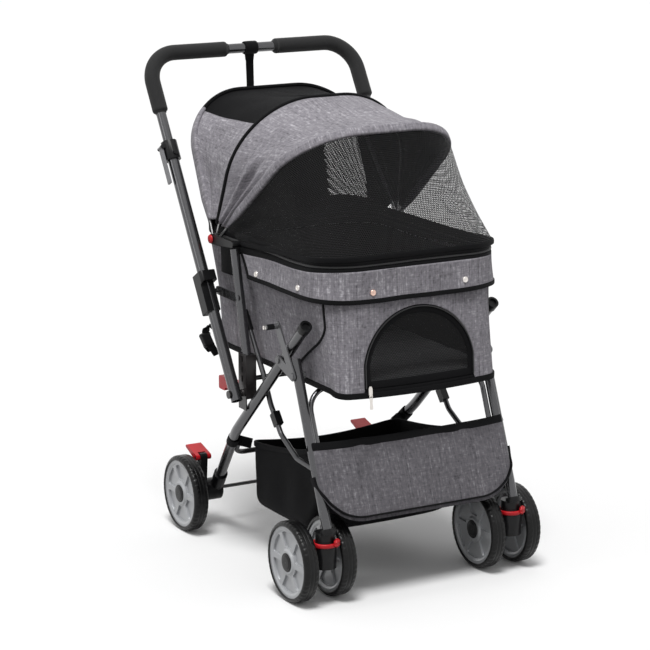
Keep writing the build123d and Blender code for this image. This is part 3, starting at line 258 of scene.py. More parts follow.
def grey(tone, blue=0.0):
    # a grey with a little more blue
    return (tone, tone, tone + blue)


def coated(metal, coat, rough):
    # shares of metal and of clear coat, and the coat's roughness
    return {"Metallic": metal, "Coat Weight": coat, "Coat Roughness": rough}


def glossy(level):
    # how strongly a surface that isn't metal mirrors
    return {"Specular IOR Level": level}


steel, dull = {"Metallic": 1.0}, glossy(0.1)
cloth = {**glossy(0.25), "Sheen Weight": 0.12, "Sheen Roughness": 0.45}
linenGreys = {"dark": (0.112, 0.105, 0.12), "mid": (0.29, 0.276, 0.304), "light": (0.74, 0.715, 0.765)}
# the front panel's greys: the same heather at about half its tone, painted shade for a panel that hangs tilted down in
# the cabin's shadow
shadedPanelGreys = {"dark": (0.055, 0.052, 0.059), "mid": (0.142, 0.135, 0.149), "light": (0.36, 0.347, 0.37)}
plasticBlacks = {"colour": grey(0.005, 0.0005), "worn": grey(0.017, 0.001)}
clothBlacks = {"dark": grey(0.0025, 0.0005), "light": grey(0.01, 0.001)}
gunmetal = makeFinish("gunmetalTube", coated(0.85, 0.4, 0.12),
                      paintedTube, grey(0.082, 0.004), grey(0.15, 0.005), 0.22)
platePaint = makeFinish("platePaint", coated(0.7, 0.15, 0.3), paintedTube, grey(0.12, 0.005), grey(0.21, 0.005), 0.36)
darkTube = makeFinish("darkTube", coated(0.7, 0.2, 0.25), paintedTube, grey(0.06, 0.003), grey(0.11, 0.004), 0.32)
axleSteel = makeFinish("axleSteel", steel, paintedTube, grey(0.1), grey(0.24), 0.38)
channelPaint = makeFinish("channelPaint", coated(0.4, 0.2, 0.2),
                          paintedTube, (0.022, 0.019, 0.019), (0.05, 0.042, 0.042), 0.34)
bowSteel = makeFinish("bowSteel", steel, paintedTube, grey(0.3), grey(0.45), 0.34)
blackPlastic = makeFinish("blackPlastic", glossy(0.22), mouldedPlastic, **plasticBlacks, gloss=0.34)
frameSleeve = makeFinish("frameSleeve", dull, mouldedPlastic, **plasticBlacks, gloss=0.72)
leverPlastic = makeFinish("leverPlastic", glossy(0.5), mouldedPlastic, grey(0.2, 0.01), grey(0.32, 0.01), 0.4)
redPlastic = makeFinish("redPlastic", {**glossy(0.3), "Coat Weight": 0.12, "Coat Roughness": 0.15},
                        mouldedPlastic, (0.52, 0.006, 0.012), (0.66, 0.02, 0.03), 0.36)
silverRim = makeFinish("silverRim", coated(0.15, 0.4, 0.18), rimPlastic)
rubber = makeFinish("tyreRubber", glossy(0.22), tyreRubber)
foam = makeFinish("gripFoam", {**glossy(0.3), "Sheen Weight": 0.1}, foamCells)
linen = makeFinish("heatherLinen", cloth, heatherLinen, **linenGreys)
linenHem = makeFinish("heatherHem", cloth, heatherLinen, **linenGreys, stitchAt=0.004)
# darker copy of the heather linen: painted shade for the basket's front panel
shadedPanelLinen = makeFinish("heatherPanelShaded", cloth, heatherLinen, **shadedPanelGreys)
blackCloth = makeFinish("blackCloth", dull, plainWeave, **clothBlacks, pitch=0.0012)
lining = makeFinish("blackLining", dull, plainWeave, grey(0.0022, 0.0004), grey(0.009, 0.0008), 0.0009)
tape = makeFinish("bindingTape", dull, ribbedTape, **clothBlacks, pitch=0.0016)
netting = makeFinish("blackNetting", dull, openMesh, 3.3, 0.35)
fineNet = makeFinish("fineNetting", dull, openMesh, 2.6, 0.22)
zipBlack = makeFinish("zipCoil", glossy(0.5), zipCoil)
snapMetal = makeFinish("snapMetal", steel, polish, (0.55, 0.52, 0.49), (0.86, 0.82, 0.78))
snapRose = makeFinish("snapRose", steel, polish, (0.55, 0.36, 0.29), (0.85, 0.62, 0.53))
board = makeFinish("floorBoard", {}, pressedBoard)
matCloth = makeFinish("matCloth", cloth, plainWeave, grey(0.05, 0.002), grey(0.14, 0.005), 0.0014)
print("finishes made:", len(bpy.data.materials))


def lerp(a, b, t):
    # straight blend: a, and a share t of the way to b
    return a + (b - a) * t


def smooth(t):
    # soft step from 0 to 1: three times t squared less twice t cubed
    t = np.clip(t, 0, 1)
    return t * t * (3 - 2 * t)


def unit(v):
    # vectors divided by their own lengths
    return v / np.maximum(np.linalg.norm(v, axis=-1, keepdims=True), 1e-9)


def coords(*columns):
    # points from their columns of x, y and so on
    return np.stack(columns, -1)


def grid(a, b):
    # two values over the rows and columns of a grid
    return np.meshgrid(a, b, indexing="ij")


def ringed(flat):
    # the first column again after the last, in metres: the cut of a ring
    return np.concatenate([flat, flat[:, :1]], 1) * mm


def bump(t, middle, width):
    # bell curve of height one
    return np.exp(-((t - middle) / width) ** 2)


def arcSin(share):
    # half a sine wave over a share from 0 to 1
    return np.sin(np.pi * np.clip(share, 0, 1))


def ripple(u, v, seed, size):
    # mean of six sine waves whose directions and lengths differ, about -1 to 1
    k = np.arange(6)
    way, pace = seed * 1.7 + k * 2.4, turn / size * (0.6 + 0.31 * k)
    phase = pace * (u[..., None] * np.cos(way) + v[..., None] * np.sin(way)) + seed * (k + 1) * 1.3
    return np.sin(phase).mean(-1) * 1.9


def runAlong(line):
    # length along a polyline up to each of its points; along a grid, the mean of its lines
    step = np.linalg.norm(np.diff(line, axis=0), axis=-1)
    return np.concatenate([[0], np.cumsum(step.reshape(len(step), -1).mean(1))])


def spread(points, count, loop=False):
    # points at equal lengths along a polyline
    line = np.vstack([points, points[:1]]) if loop else np.asarray(points, float)
    run = runAlong(line)
    at = np.linspace(0, run[-1], count, endpoint=not loop)
    return coords(*[np.interp(at, run, c) for c in line.T])


def superEllipse(wide, high, count=16, power=0.6):
    # closed profile: signed powers of cosine and sine
    t = np.arange(count) * turn / count
    c, s = np.cos(t), np.sin(t)
    return coords(wide / 2 * np.sign(c) * np.abs(c) ** power, high / 2 * np.sign(s) * np.abs(s) ** power)


def patch(points, loopU=False, loopV=False, uv=None, finish=0, caps=False):
    # a grid of points with one face to each cell; cut lengths in metres become its UV
    nu, nv = points.shape[:2]
    if uv is None:
        ways = ((points, loopU), (points.swapaxes(0, 1), loopV))
        uv = coords(*grid(*(runAlong(np.concatenate([p, p[:1]]) if loop else p) for p, loop in ways))) * mm
    i, j = grid(np.arange(nu if loopU else nu - 1), np.arange(nv if loopV else nv - 1))
    k, m = (i + 1) % nu, (j + 1) % nv
    quads = coords(i * nv + j, k * nv + j, k * nv + m, i * nv + m).reshape(-1, 4)
    corners = np.stack([uv[i, j], uv[i + 1, j], uv[i + 1, j + 1], uv[i, j + 1]], -2).reshape(-1, 4, 2)
    ends = [list(range(nv)), list(range((nu - 1) * nv, nu * nv))] if caps else []
    kind = finish if np.ndim(finish) else np.full(len(quads), finish)
    return {"points": points.reshape(-1, 3), "quads": quads, "uv": corners, "ends": ends, "kind": kind}


def piece(name, patches, finishes, body=None, away=None, stands=(), thick=0, inner=0, lift=0.0, sheet=None):
    # joins patches into one mesh; faces turn away from a point, or outwards round the volume of a closed patch
    points, faces, cuts, kinds, base = [], [], [], [], 0
    for one in patches:
        p, q, t = one["points"], one["quads"], one["uv"]
        a, b, c, d = (p[q[:, n]] for n in range(4))
        normal, middle = np.cross(c - a, d - b), (a + b + c + d) / 4
        facing = ((middle - (np.asarray(away) if away is not None else p.mean(0))) * normal).sum()
        if facing < 0:
            q, t = q[:, ::-1], t[:, ::-1]
        ends = one["ends"]
        if ends:
            first, last = ends
            ends = [first, last[::-1]] if facing < 0 else [first[::-1], last]
        points.append(p)
        faces += (q + base).tolist() + [[n + base for n in e] for e in ends]
        cuts.append(t.reshape(-1, 2))
        for e in ends:
            q = np.linspace(0, turn, len(e))
            cuts.append(coords(np.cos(q), np.sin(q)) * 0.004)
        kinds += list(one["kind"]) + [one["kind"][0]] * len(ends)
        base += len(p)
    mesh = bpy.data.meshes.new(name)
    mesh.from_pydata((np.concatenate(points) * mm).tolist(), [], faces)
    mesh.uv_layers.new(name="cut").data.foreach_set("uv", np.concatenate(cuts).astype(np.float32).ravel())
    for finish in finishes:
        mesh.materials.append(finish)
    mesh.polygons.foreach_set("material_index", np.array(kinds, np.int32))
    mesh.polygons.foreach_set("use_smooth", np.ones(len(faces), bool))
    mesh.update()
    made = bpy.data.objects.new(name, mesh)
    bpy.context.scene.collection.objects.link(made)
    if thick:
        wall = made.modifiers.new("wall", "SOLIDIFY")
        wall.thickness, wall.offset, wall.material_offset = thick * mm, lift, inner
        wall.use_quality_normals = True
    if body:
        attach(made, body)
    if stands:
        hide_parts(*stands)
    if sheet:
        declareSheet(made, *sheet)
    return made


def sweep(path, profile, up, loop=False, size=None, finish=0):
    # profile carried along a path: its first axis lies across up, its second along it; an open end is capped
    path = np.asarray(path, float)
    ahead = unit(np.roll(path, -1, 0) - np.roll(path, 1, 0) if loop else np.gradient(path, axis=0))
    across = unit(np.cross(ahead, np.broadcast_to(np.asarray(up, float), path.shape)))
    rise = np.cross(across, ahead)
    grow = np.ones(len(path)) if size is None else size
    flat = profile[None] * (grow[:, None, None] if np.ndim(grow) == 1 else grow[:, None, :])
    points = path[:, None] + across[:, None] * flat[..., :1] + rise[:, None] * flat[..., 1:]
    return patch(points, loop, True, finish=finish, caps=not loop)


def turned(middle, n, s, t, radius, rho, high, count):
    # a cap turned about n: ring by ring, a share rho of the radius and a height above the middle
    q = np.arange(count)[:, None] * turn / count
    ring = np.cos(q) * np.asarray(s, float) + np.sin(q) * np.asarray(t, float)
    points = np.asarray(middle, float) + np.asarray(n, float) * high[:, None, None]
    return patch(points + radius * rho[:, None, None] * ring, False, True, caps=True)


def roundedEnds(path, reach, least):
    # size along a path that closes each end in a quarter round of this reach, down to the least share
    run = runAlong(path)
    near = np.clip(np.minimum(run, run[-1] - run) / reach, 0, 1)
    return np.maximum(np.sqrt(np.clip(1 - (1 - near) ** 2, 0.02, 1)), least)


def endFine(points, count, reach, extra=6):
    # even points with a few more close to both ends, for a rounded end
    line = spread(points, 2000)
    run = np.linspace(0, 1, 2000)
    share = reach / runAlong(line)[-1]
    e = share * (1 - np.cos(np.linspace(0, quarter, extra)))
    at = np.unique(np.concatenate([e, np.linspace(share, 1 - share, count), 1 - e]))
    return coords(*[np.interp(at, run, c) for c in line.T])


def rod(points, count, reach, least, profile, up):
    # a profile swept along a line and rounded off at both ends
    line = endFine(points, count, reach)
    return sweep(line, profile, up, size=roundedEnds(line, reach, least))


def declareSheet(made, wide, long, held, restsOn):
    # reads the area of each of the mesh's own faces and keeps nothing; the flat cut's size that it is given is not
    # used
    areas = np.zeros(len(made.data.polygons), np.float32)
    made.data.polygons.foreach_get("area", areas)


# frame: every tube, plate and moulding of the CAD model in its own finish
finishNodes = [
    (gunmetal, "front_legs rear_legs uprights handle_tubes handle_bar front_bar"), (platePaint, "leg_plates"),
    (channelPaint, "hinge_channels"), (darkTube, "brace_tube cross_bar rear_bar"), (frameSleeve, "top_frame"),
    (axleSteel, "rear_axle"), (bowSteel, "rear_bow mid_bow front_bow"), (board, "floor_board"),
    (blackPlastic, "caster_sockets brace_clips rear_leg_caps wheel_brackets clamp_collars canopy_brackets"),
    (blackPlastic, "caster_fork_left caster_fork_right lock_sleeve_left lock_sleeve_right"),
    (leverPlastic, "clamp_lever_left clamp_lever_right"), (redPlastic, "swivel_lock_left swivel_lock_right"),
    (redPlastic, "fold_lever_left fold_lever_right brake_pedal_left brake_pedal_right")]
wheelPlace = {"front_left_outer": (-237.5, -275, -1), "front_left_inner": (-159.5, -275, 1),
              "front_right_inner": (159.5, -275, -1), "front_right_outer": (237.5, -275, 1),
              "rear_left": (-221, 197, -1), "rear_right": (221, 197, 1)}
nodeFinish = {node: finish for finish, named in finishNodes for node in named.split()}
nodeFinish.update({f"rim_{wheel}": silverRim for wheel in wheelPlace})
edgeRound = {"caster_sockets": 1.4, "wheel_brackets": 1.2, "leg_plates": 0.6, "hinge_channels": 0.5,
             "clamp_collars": 0.9, "rear_leg_caps": 0.8, "brace_clips": 0.9, "canopy_brackets": 0.7,
             "caster_fork": 1.6, "lock_sleeve": 1.8, "clamp_lever": 0.8, "swivel_lock": 2.0, "fold_lever": 1.6,
             "brake_pedal": 1.4, "rim": 1.2}
for node, finish in nodeFinish.items():
    part = nodes[node]
    part.data.materials.clear()
    part.data.materials.append(finish)
    width = next((w for key, w in edgeRound.items() if node.startswith(key)), 0)
    if width:
        joined = part.modifiers.new("joined", "WELD")
        joined.merge_threshold = 0.00002
        edge = part.modifiers.new("edge", "BEVEL")
        edge.width, edge.segments, edge.limit_method, edge.angle_limit = width * mm, 3, "ANGLE", math.radians(38)
        edge.harden_normals = True
print("frame finished,", len(nodeFinish), "nodes")

tyreCut = {"radius": 75, "height": 9, "width": 30, "shoulder": 7, "blocks": 44, "groove": 0.9, "steps": 264}


def tyreBand(x, y):
    # a rounded band turned about the axle; shallow slanted grooves at the shoulders, two thin rings round the crown
    g = tyreCut
    half, r0, r1, s = g["width"] / 2, g["radius"] - g["height"], g["radius"], g["shoulder"]
    q = np.linspace(0, quarter, 6)
    left = coords(-half + s - s * np.cos(q), r1 - s + s * np.sin(q))
    crown = coords(np.linspace(-half + s, half - s, 16)[1:-1], np.full(14, r1))
    base = np.array([[half, r0], [half * 0.5, r0], [-half * 0.5, r0], [-half, r0]])
    across, up = np.concatenate([left, crown, left[::-1] * (-1, 1), base]).T[:, None]
    a = np.arange(g["steps"])[:, None] * turn / g["steps"]
    grip = smooth((np.abs(across) - 5.5) / 2) * (up > r1 - s * 0.85)
    slant = np.sin(g["blocks"] * a + np.sign(across) * 0.9 + across * 0.12)
    ring = bump(np.abs(across), 3.6, 0.8) * (up > r1 - 0.5)
    radius = up - g["groove"] * (smooth((slant - 0.55) / 0.25) * grip + 0.8 * ring)
    points = coords(np.broadcast_to(x + across, radius.shape), y + radius * np.cos(a), r1 + radius * np.sin(a))
    return patch(points, True, True)


hubCut = {"radius": 17.4, "rise": 2.4, "out": 14.2}
hubRho = np.array([0.04, 0.2, 0.4, 0.6, 0.74, 0.79, 0.82, 0.86, 0.95, 1.0, 1.0])
hubHigh = hubCut["rise"] * (1 - hubRho ** 6 * 0.75)  # a shallow dome with a groove near its edge
hubHigh[5:7] -= 0.5
hubHigh[-1] = -0.6
for wheel, (x, y, side) in wheelPlace.items():
    piece(f"tyre_tread_{wheel}", [tyreBand(x, y)], [rubber], f"wheel_{wheel}", stands=[f"tyre_{wheel}"])
    hub = turned((x + side * hubCut["out"], y, tyreCut["radius"]), (side, 0, 0), (0, 1, 0), (0, 0, 1),
                 hubCut["radius"], hubRho, hubHigh, 40)
    piece(f"hub_cap_{wheel}", [hub], [blackPlastic], f"wheel_{wheel}")

lockTab = {"foot": (198.5, -322), "way": (0.55, -0.835, 0), "reach": 24.2, "low": 113.5, "high": 128, "wide": 15,
           "deep": 8, "round": 4}
for name, side in (("left", -1), ("right", 1)):  # thumb lug on the red swivel lock
    ringX, ringY = lockTab["foot"]
    lugFoot = np.array([side * ringX, ringY, 0]) + np.array(lockTab["way"]) * lockTab["reach"]
    lugEnds = lugFoot + np.array([[0, 0, lockTab["low"]], [0, 0, lockTab["high"]]])
    lugProfile = superEllipse(lockTab["wide"], lockTab["deep"], 24, 0.6)
    lug = rod(lugEnds, 8, lockTab["round"], 0.55, lugProfile, lockTab["way"])
    piece(f"swivel_lug_{name}", [lug], [redPlastic], f"swivel_lock_{name}")

lockPin = {"tip": 238.5, "y": -167.76, "z": 485.8, "radius": 5.2, "start": 0, "bright": 4.5, "sleeve": 21}
pinDisc = superEllipse(2 * lockPin["radius"], 2 * lockPin["radius"], 28, 1)
sleeves, tips = [], []
for side in (-1, 1):  # black sleeve on each front lock pin, its end left bright
    tip = np.array([side * lockPin["tip"], lockPin["y"], lockPin["z"]])
    tipEnd, bare, covered = (tip - np.array([side * lockPin[k], 0, 0]) for k in ("start", "bright", "sleeve"))
    tips.append(rod(np.array([tipEnd, bare]), 6, 1.5, 0.75, pinDisc * 0.98, (0, 0, 1)))
    sleeves.append(rod(np.array([bare, covered]), 12, 1, 0.9, pinDisc, (0, 0, 1)))
piece("lock_pin_sleeves", sleeves, [blackPlastic], "chassis")
piece("lock_pin_tips", tips, [snapMetal], "chassis")
print("wheels shod, small fittings on")

# cabin walls: one surface, measured a round the cabin from the middle of the front and v up the wall
cabin = {"bottom": 382, "top": 585, "half": (166, 186), "front": (-321, -305), "rear": (172, 187), "corner": (20, 72),
         "rearCorner": (46, 66), "round": 800, "sag": 11, "sagHalf": 190, "mid": (0, -74.5)}
cabinRound = 2 * cabin["round"]
cabinMid, doorMid, flapMid = (0, -70, 480), (0, -70, 450), (0, -70, 570)  # points inside, which cloth faces away from


def nearFront(a):
    # the same place round the cabin, told from -800 to 800 either side of the front's middle
    return (a + cabinRound / 2) % cabinRound - cabinRound / 2


def cabinWall(a, v, out=0.0):
    # front run, corner arc, side run, corner arc, rear run, mirrored for the other half; out is along the plan normal
    c = cabin
    half, r, yf, yr, rr = (lerp(*c[k], v) for k in ("half", "corner", "front", "rear", "rearCorner"))
    a = nearFront(a)
    side, b = np.where(a < 0, -1.0, 1.0), np.abs(a)
    e1, e4 = half - r, c["round"] - (half - rr)
    e2, e3 = e1 + r * quarter, e4 - rr * quarter
    q1 = np.clip((b - e1) / (e2 - e1), 0, 1) * quarter
    q2 = np.clip((b - e3) / (e4 - e3), 0, 1) * quarter
    x = np.where(b < e1, b, e1 + r * np.sin(q1))
    y = np.where(b < e2, yf + r - r * np.cos(q1), lerp(yf + r, yr - rr, np.clip((b - e2) / (e3 - e2), 0, 1)))
    x = np.where(b > e3, half - rr + rr * np.cos(q2), x)
    y = np.where(b > e3, yr - rr + rr * np.sin(q2), y)
    x = np.where(b > e4, c["round"] - b, x)
    y = np.where(b > e4, yr, y)
    angle = q1 + q2
    z = lerp(c["bottom"], c["top"], v) - frontSag(a, v)
    return coords(side * (x + out * np.sin(angle)), y - out * np.cos(angle), z + 0 * x)


def frontSag(a, v):
    # the front's lower edge hangs in a shallow bow that dies out up the wall
    return cabin["sag"] * np.cos(np.clip(a / cabin["sagHalf"], -1, 1) * quarter) ** 0.6 * np.clip(1 - v, 0, 1) ** 5


def wallDent(a, v):
    # slack cloth: long upright folds that fade towards the floor, a shallow hollow half way up, puckers at the hem
    far = np.abs(a)
    upright = ripple(a, v * 40, 3, 120) * 1.6 + ripple(a, v * 14, 8, 52) * 1.5 * smooth((far - 200) / 60)
    hollow = -2.6 * arcSin(v) * (np.abs(far - 400) < 260)
    pucker = ripple(a * 1.0, v * 160, 7, 34) * 0.7 * smooth((0.18 - v) / 0.18)
    drag = 1.5 * np.sin(a / 26 + v * 5) * smooth((v - 0.35) / 0.5) * smooth((far - 150) / 60)
    return upright * smooth(v * 1.3) + hollow + pucker + drag


doorCut = {"half": 116, "foot": 12, "spring": 52, "top": 149, "edge": 13.5, "seam": 164, "rays": (0.0, 62.0),
           "mid": (0.0, 60.0)}
wallUp = math.hypot(cabin["top"] - cabin["bottom"], cabin["front"][1] - cabin["front"][0])


def archOutline(inset, counts=(14, 70, 40)):
    # up the left leg, over a circular arch through its three points, down the right leg, back along the foot
    d = doorCut
    half, foot, spring, top = d["half"] - inset, d["foot"] + inset, d["spring"], d["top"] - inset
    rise = top - spring
    r = (half ** 2 + rise ** 2) / (2 * rise)
    q = math.asin(min(1, half / r)) if rise < half else math.pi - math.asin(half / r)
    t = np.linspace(-q, q, counts[1])
    legs = np.linspace(foot, spring, counts[0], endpoint=False)
    return np.concatenate([
        coords(np.full(counts[0], -half), legs), coords(r * np.sin(t), top - r + r * np.cos(t)),
        coords(np.full(counts[0], half), legs[::-1]),
        coords(np.linspace(half, -half, counts[2] + 1)[1:-1], np.full(counts[2] - 1, foot))])


def frontSquare(outline):
    # the panel's own edge, point for point with the arch: rays from the arch's middle meet the square,
    # and the nearest ray goes right into each corner
    seam, mid = doorCut["seam"], np.array(doorCut["rays"])
    d = outline - mid
    far = np.minimum(seam / np.maximum(np.abs(d[:, 0]), 1e-6),
                     np.where(d[:, 1] > 0, (wallUp - mid[1]), mid[1]) / np.maximum(np.abs(d[:, 1]), 1e-6))
    square = mid + d * far[:, None]
    for corner in ((-seam, 0), (-seam, wallUp), (seam, wallUp), (seam, 0)):
        square[np.argmin(np.linalg.norm(square - corner, axis=1))] = corner
    return square


arch = archOutline(0)
ringShare = np.array([0, 0.02, 0.06, 0.14, 0.26, 0.4, 0.55, 0.7, 0.84, 0.94, 1.0])
flatRing = lerp(arch[None], frontSquare(arch)[None], ringShare[:, None, None])
ringA, ringV = flatRing[..., 0], flatRing[..., 1] / wallUp
frontPoints = cabinWall(ringA, ringV, wallDent(ringA, ringV) * smooth(ringShare / 0.3)[:, None])
sideA, sideV = grid(np.linspace(doorCut["seam"], cabinRound - doorCut["seam"], 260), np.linspace(0, 1, 40))
sidePoints = cabinWall(sideA, sideV, wallDent(nearFront(sideA), sideV))
piece("cabin_cloth", [patch(frontPoints, False, True, uv=ringed(flatRing)),
                      patch(sidePoints, uv=coords(sideA, sideV * wallUp) * mm)],
      [linen, lining], "chassis", away=cabinMid, stands=["cabin_shell"], thick=2.2, inner=1,
      lift=-1.0, sheet=(1600, 206, "stretched", ["top_frame", "floor_board"]))
floorEdge = cabinWall(np.linspace(0, cabinRound, 200, endpoint=False), np.zeros(200), -0.6)
floorMid = np.array([*cabin["mid"], cabin["bottom"]])
floorPoints = lerp(floorMid, floorEdge[None], np.linspace(0.02, 1, 24)[:, None, None])
floorPoints[..., 2] += ripple(floorPoints[..., 0], floorPoints[..., 1], 5, 120) * 0.5 + 0.4
piece("cabin_base", [patch(floorPoints, False, True)], [blackCloth], "chassis", away=(0, -70, 900),
      thick=1.6, lift=-1.0, sheet=(332, 493, "stretched", ["floor_board"]))


def tapes(name, patches, body="chassis"):
    # a piece of black binding tape alone
    return piece(name, patches, [tape], body)


hemRing = cabinWall(np.linspace(-cabinRound / 2, cabinRound / 2, 441), np.full(441, 0.018), 0.6)[:-1]
tapes("cabin_hem_tape", [sweep(hemRing, superEllipse(3.6, 11, 14, 0.5), (0, 0, 1), True)])
seamCut = {"front": 189, "sweep": 130, "sweepFrom": 0.6, "rear": 640.0, "out": 0.7}
seams, seamUp = [], np.linspace(0.02, 0.985, 40)
sweepBack = seamCut["sweep"] * smooth((seamCut["sweepFrom"] - seamUp) / (seamCut["sweepFrom"] - seamUp[0]))
for side in (-1, 1):  # the front seam is straight below the flap, then sweeps back to the hem
    for seamA, wide, high, up in ((seamCut["front"] + sweepBack, 4.6, 3.6, (side * 1.0, -0.1, 0)),
                                  (np.full(40, seamCut["rear"]), 4.2, 3.4, (side * 0.7, 0.7, 0))):
        seamLine = cabinWall(side * seamA, seamUp, wallDent(side * seamA, seamUp) + seamCut["out"])
        seams.append(sweep(seamLine, superEllipse(wide, high, 10, 0.8), up))
tapes("cabin_corner_piping", seams)

foldStrap = {"path": [(-149, 155, 404), (-163, 166, 411), (-177, 172, 411), (-187, 168, 404), (-191, 158, 396),
                      (-192, 146, 387), (-190, 132, 376), (-186, 124, 366)],
             "tail": [(-193, 166, 389), (-195, 152, 378), (-193, 138, 371)],
             "buckle": [(-193.5, 164, 400), (-194.5, 138, 380.0)], "up": (0.75, 0.35, 0.3)}
strapLine, strapTail = (spread(np.array(foldStrap[k], float), n) for k, n in (("path", 40), ("tail", 20)))
tapes("fold_strap", [sweep(strapLine, superEllipse(2.4, 17, 12, 0.4), foldStrap["up"]),
                     sweep(strapTail, superEllipse(2.0, 12, 12, 0.4), foldStrap["up"])])
buckle = rod(np.array(foldStrap["buckle"]), 10, 3, 0.6, superEllipse(8, 23, 20, 0.5), foldStrap["up"])
piece("fold_strap_buckle", [buckle], [blackPlastic], "chassis")
print("cabin sewn")

# zip band round the top, with the flap that hangs from it
band = {"high": 622.3, "deep": 37, "lift": (14, 5), "lap": 3.0, "steps": 420}


def bandLift(a):
    # the band's lower edge stands higher at the front than along the sides, and laps over the cloth at the back
    near = np.abs(nearFront(np.asarray(a, float)))
    front, flank = 1 - smooth((near - 130) / 160), 1 - smooth((near - 320) / 160)
    rise = band["lift"][0] * front + band["lift"][1] * (1 - front) * flank
    return rise - band["lap"] * smooth((near - 360) / 120)


bandProfile = np.array([  # outward, height
    (0.4, 585.6), (2.2, 585.3), (4.4, 586.2), (4.9, 588.6), (4.6, 592), (4.7, 596.5), (4.2, 599.4), (2.6, 600.6),
    (2.5, 602.3), (3.6, 603), (4.6, 604.4), (4.6, 606.6), (3.6, 608), (2.5, 608.7), (2.6, 610.2), (4.0, 611.2),
    (4.5, 613.6), (4.5, 619), (3.6, 621.6), (2.0, 622.3), (0.4, 621.6), (0.2, 604)])
bandRun = np.linspace(0, cabinRound, band["steps"], endpoint=False)
bandA, bandUp = grid(bandRun, bandProfile[:, 1])
bandOut = bandProfile[:, 0] + ripple(bandA, bandUp * 1.5, 9, 150) * 0.35
bandPoints = cabinWall(bandA, np.ones_like(bandA), bandOut)
bandPoints[..., 2] = (band["high"] - (band["high"] - bandUp) * (1 - bandLift(bandA) / band["deep"])
                      + ripple(bandA, bandA * 0, 4, 420) * 1.2)
bandKind = np.zeros(bandA.shape, int)
bandKind[:, 8:13] = 1  # the zip's own rows
piece("zip_band", [patch(bandPoints, True, True, finish=bandKind.ravel())], [tape, zipBlack], "chassis",
      stands=["rim_band"])

flap = {"end": 466, "slant": 32, "low": 546, "top": 589, "long": 50, "out": 4.4, "flare": 3.5, "tape": 8.5}


def flapCloth(a, h):
    # hangs from the band: h from 0 at the top to 1 at the hem, flaring and waving more towards the hem
    out = flap["out"] + flap["flare"] * h ** 1.5 + ripple(a, h * 60, 11, 150) * 1.7 * h ** 1.2
    points = cabinWall(a, np.ones_like(a), out + 1.2 * bump(np.abs(a), 180, 30) * h)
    points[..., 2] = lerp(flap["top"] + bandLift(a), flap["low"], h) + ripple(a, h * 20, 13, 300) * 1.2 * h
    return points


flapS, flapH = grid(np.linspace(-1, 1, 241), np.linspace(0, 1, 18))
flapA = flapS * (flap["end"] - flap["slant"] * flapH)
piece("valance_cloth", [patch(flapCloth(flapA, flapH), uv=coords(flapA, flapH * flap["long"]) * mm)], [linen],
      "chassis", away=flapMid, stands=["valance"], thick=1.3,
      sheet=(2 * flap["end"], 58, "hung", ["zip_band"]))
hemLine = flapCloth(np.linspace(-1, 1, 241) * (flap["end"] - flap["slant"]), np.ones(241))
sideH = np.linspace(0, 1, 16)[:-1]
flapEnd = flap["end"] - flap["slant"] * sideH
edgeLine = spread(np.concatenate([flapCloth(-flapEnd, sideH), hemLine, flapCloth(flapEnd[::-1], sideH[::-1])]), 300)
tapes("valance_tape", [sweep(edgeLine + (0, 0, 2.2), superEllipse(3.4, flap["tape"], 14, 0.5), (0, 0, 1))])

snapCut = {"radius": 5.8, "rise": 2.4, "rose": [(-95, 0.7)],
           "plain": [(-404, 0.72), (-247, 0.66), (98, 0.64), (247, 0.66), (404, 0.72)]}
snapRho = np.array([0.05, 0.3, 0.5, 0.62, 0.74, 0.86, 0.96, 1.0, 1.0])
snapHigh = np.array([0.55, 0.5, 0.55, 0.95, 1.0, 0.9, 0.6, 0.3, -0.3]) * snapCut["rise"]


def snapDome(a, h):
    # a pressed cap on the flap, a raised ring round a shallow dish: its normal is the cross product of two short steps
    p = flapCloth(np.array([a, a + 2.0, a]), np.array([h, h, h + 0.05]))
    n = unit(np.cross(p[1] - p[0], p[2] - p[0]))
    n = n if n @ (p[0] - flapMid) > 0 else -n
    s = unit(np.cross(n, (0, 0, 1.0)))
    return turned(p[0] + n * 0.7, n, s, np.cross(n, s), snapCut["radius"], snapRho, snapHigh, 24)


for name, kind, metal in (("valance_snaps", "plain", snapMetal), ("valance_snap_rose", "rose", snapRose)):
    piece(name, [snapDome(a, h) for a, h in snapCut[kind]], [metal], "chassis")

tabCut = {"x": 191.5, "y": (34, 92), "low": 538, "high": 600}
tabMid, tabs = sum(tabCut["y"]) / 2, []
for side in (-1, 1):  # a plain cloth tab below each canopy foot, hung close to the wall and narrower towards its end
    ty, tz = grid(np.linspace(*tabCut["y"], 20), np.linspace(tabCut["high"], tabCut["low"], 24))
    down = (tabCut["high"] - tz) / (tabCut["high"] - tabCut["low"])
    ty = tabMid + (ty - tabMid) * lerp(1.0, 0.82, smooth(down))
    tx = side * (tabCut["x"] + 1.2 * np.sin(ty / 9) * down + 1.5 * down)
    tabs.append(patch(coords(tx, ty, tz)))
piece("side_tabs", tabs, [blackCloth], "chassis", away=(0, tabMid, 570), thick=1.6)
print("zip band, flap and snaps made")


# door: netting in a taped arch, with its zip and pull
def onDoor(flat, out):
    # flat x and height up the front wall to a point, out from the wall's own plane
    lean = np.array([0, cabin["front"][1] - cabin["front"][0], cabin["top"] - cabin["bottom"]]) / wallUp
    normal = np.array([0, -lean[2], lean[1]])
    foot = np.array([0, cabin["front"][0], cabin["bottom"]])
    out = np.broadcast_to(out, flat.shape[:-1])[..., None]
    points = foot + flat[..., :1] * np.array([1.0, 0, 0]) + flat[..., 1:] * lean + out * normal
    points[..., 2] -= frontSag(flat[..., 0], flat[..., 1] / wallUp)
    return points


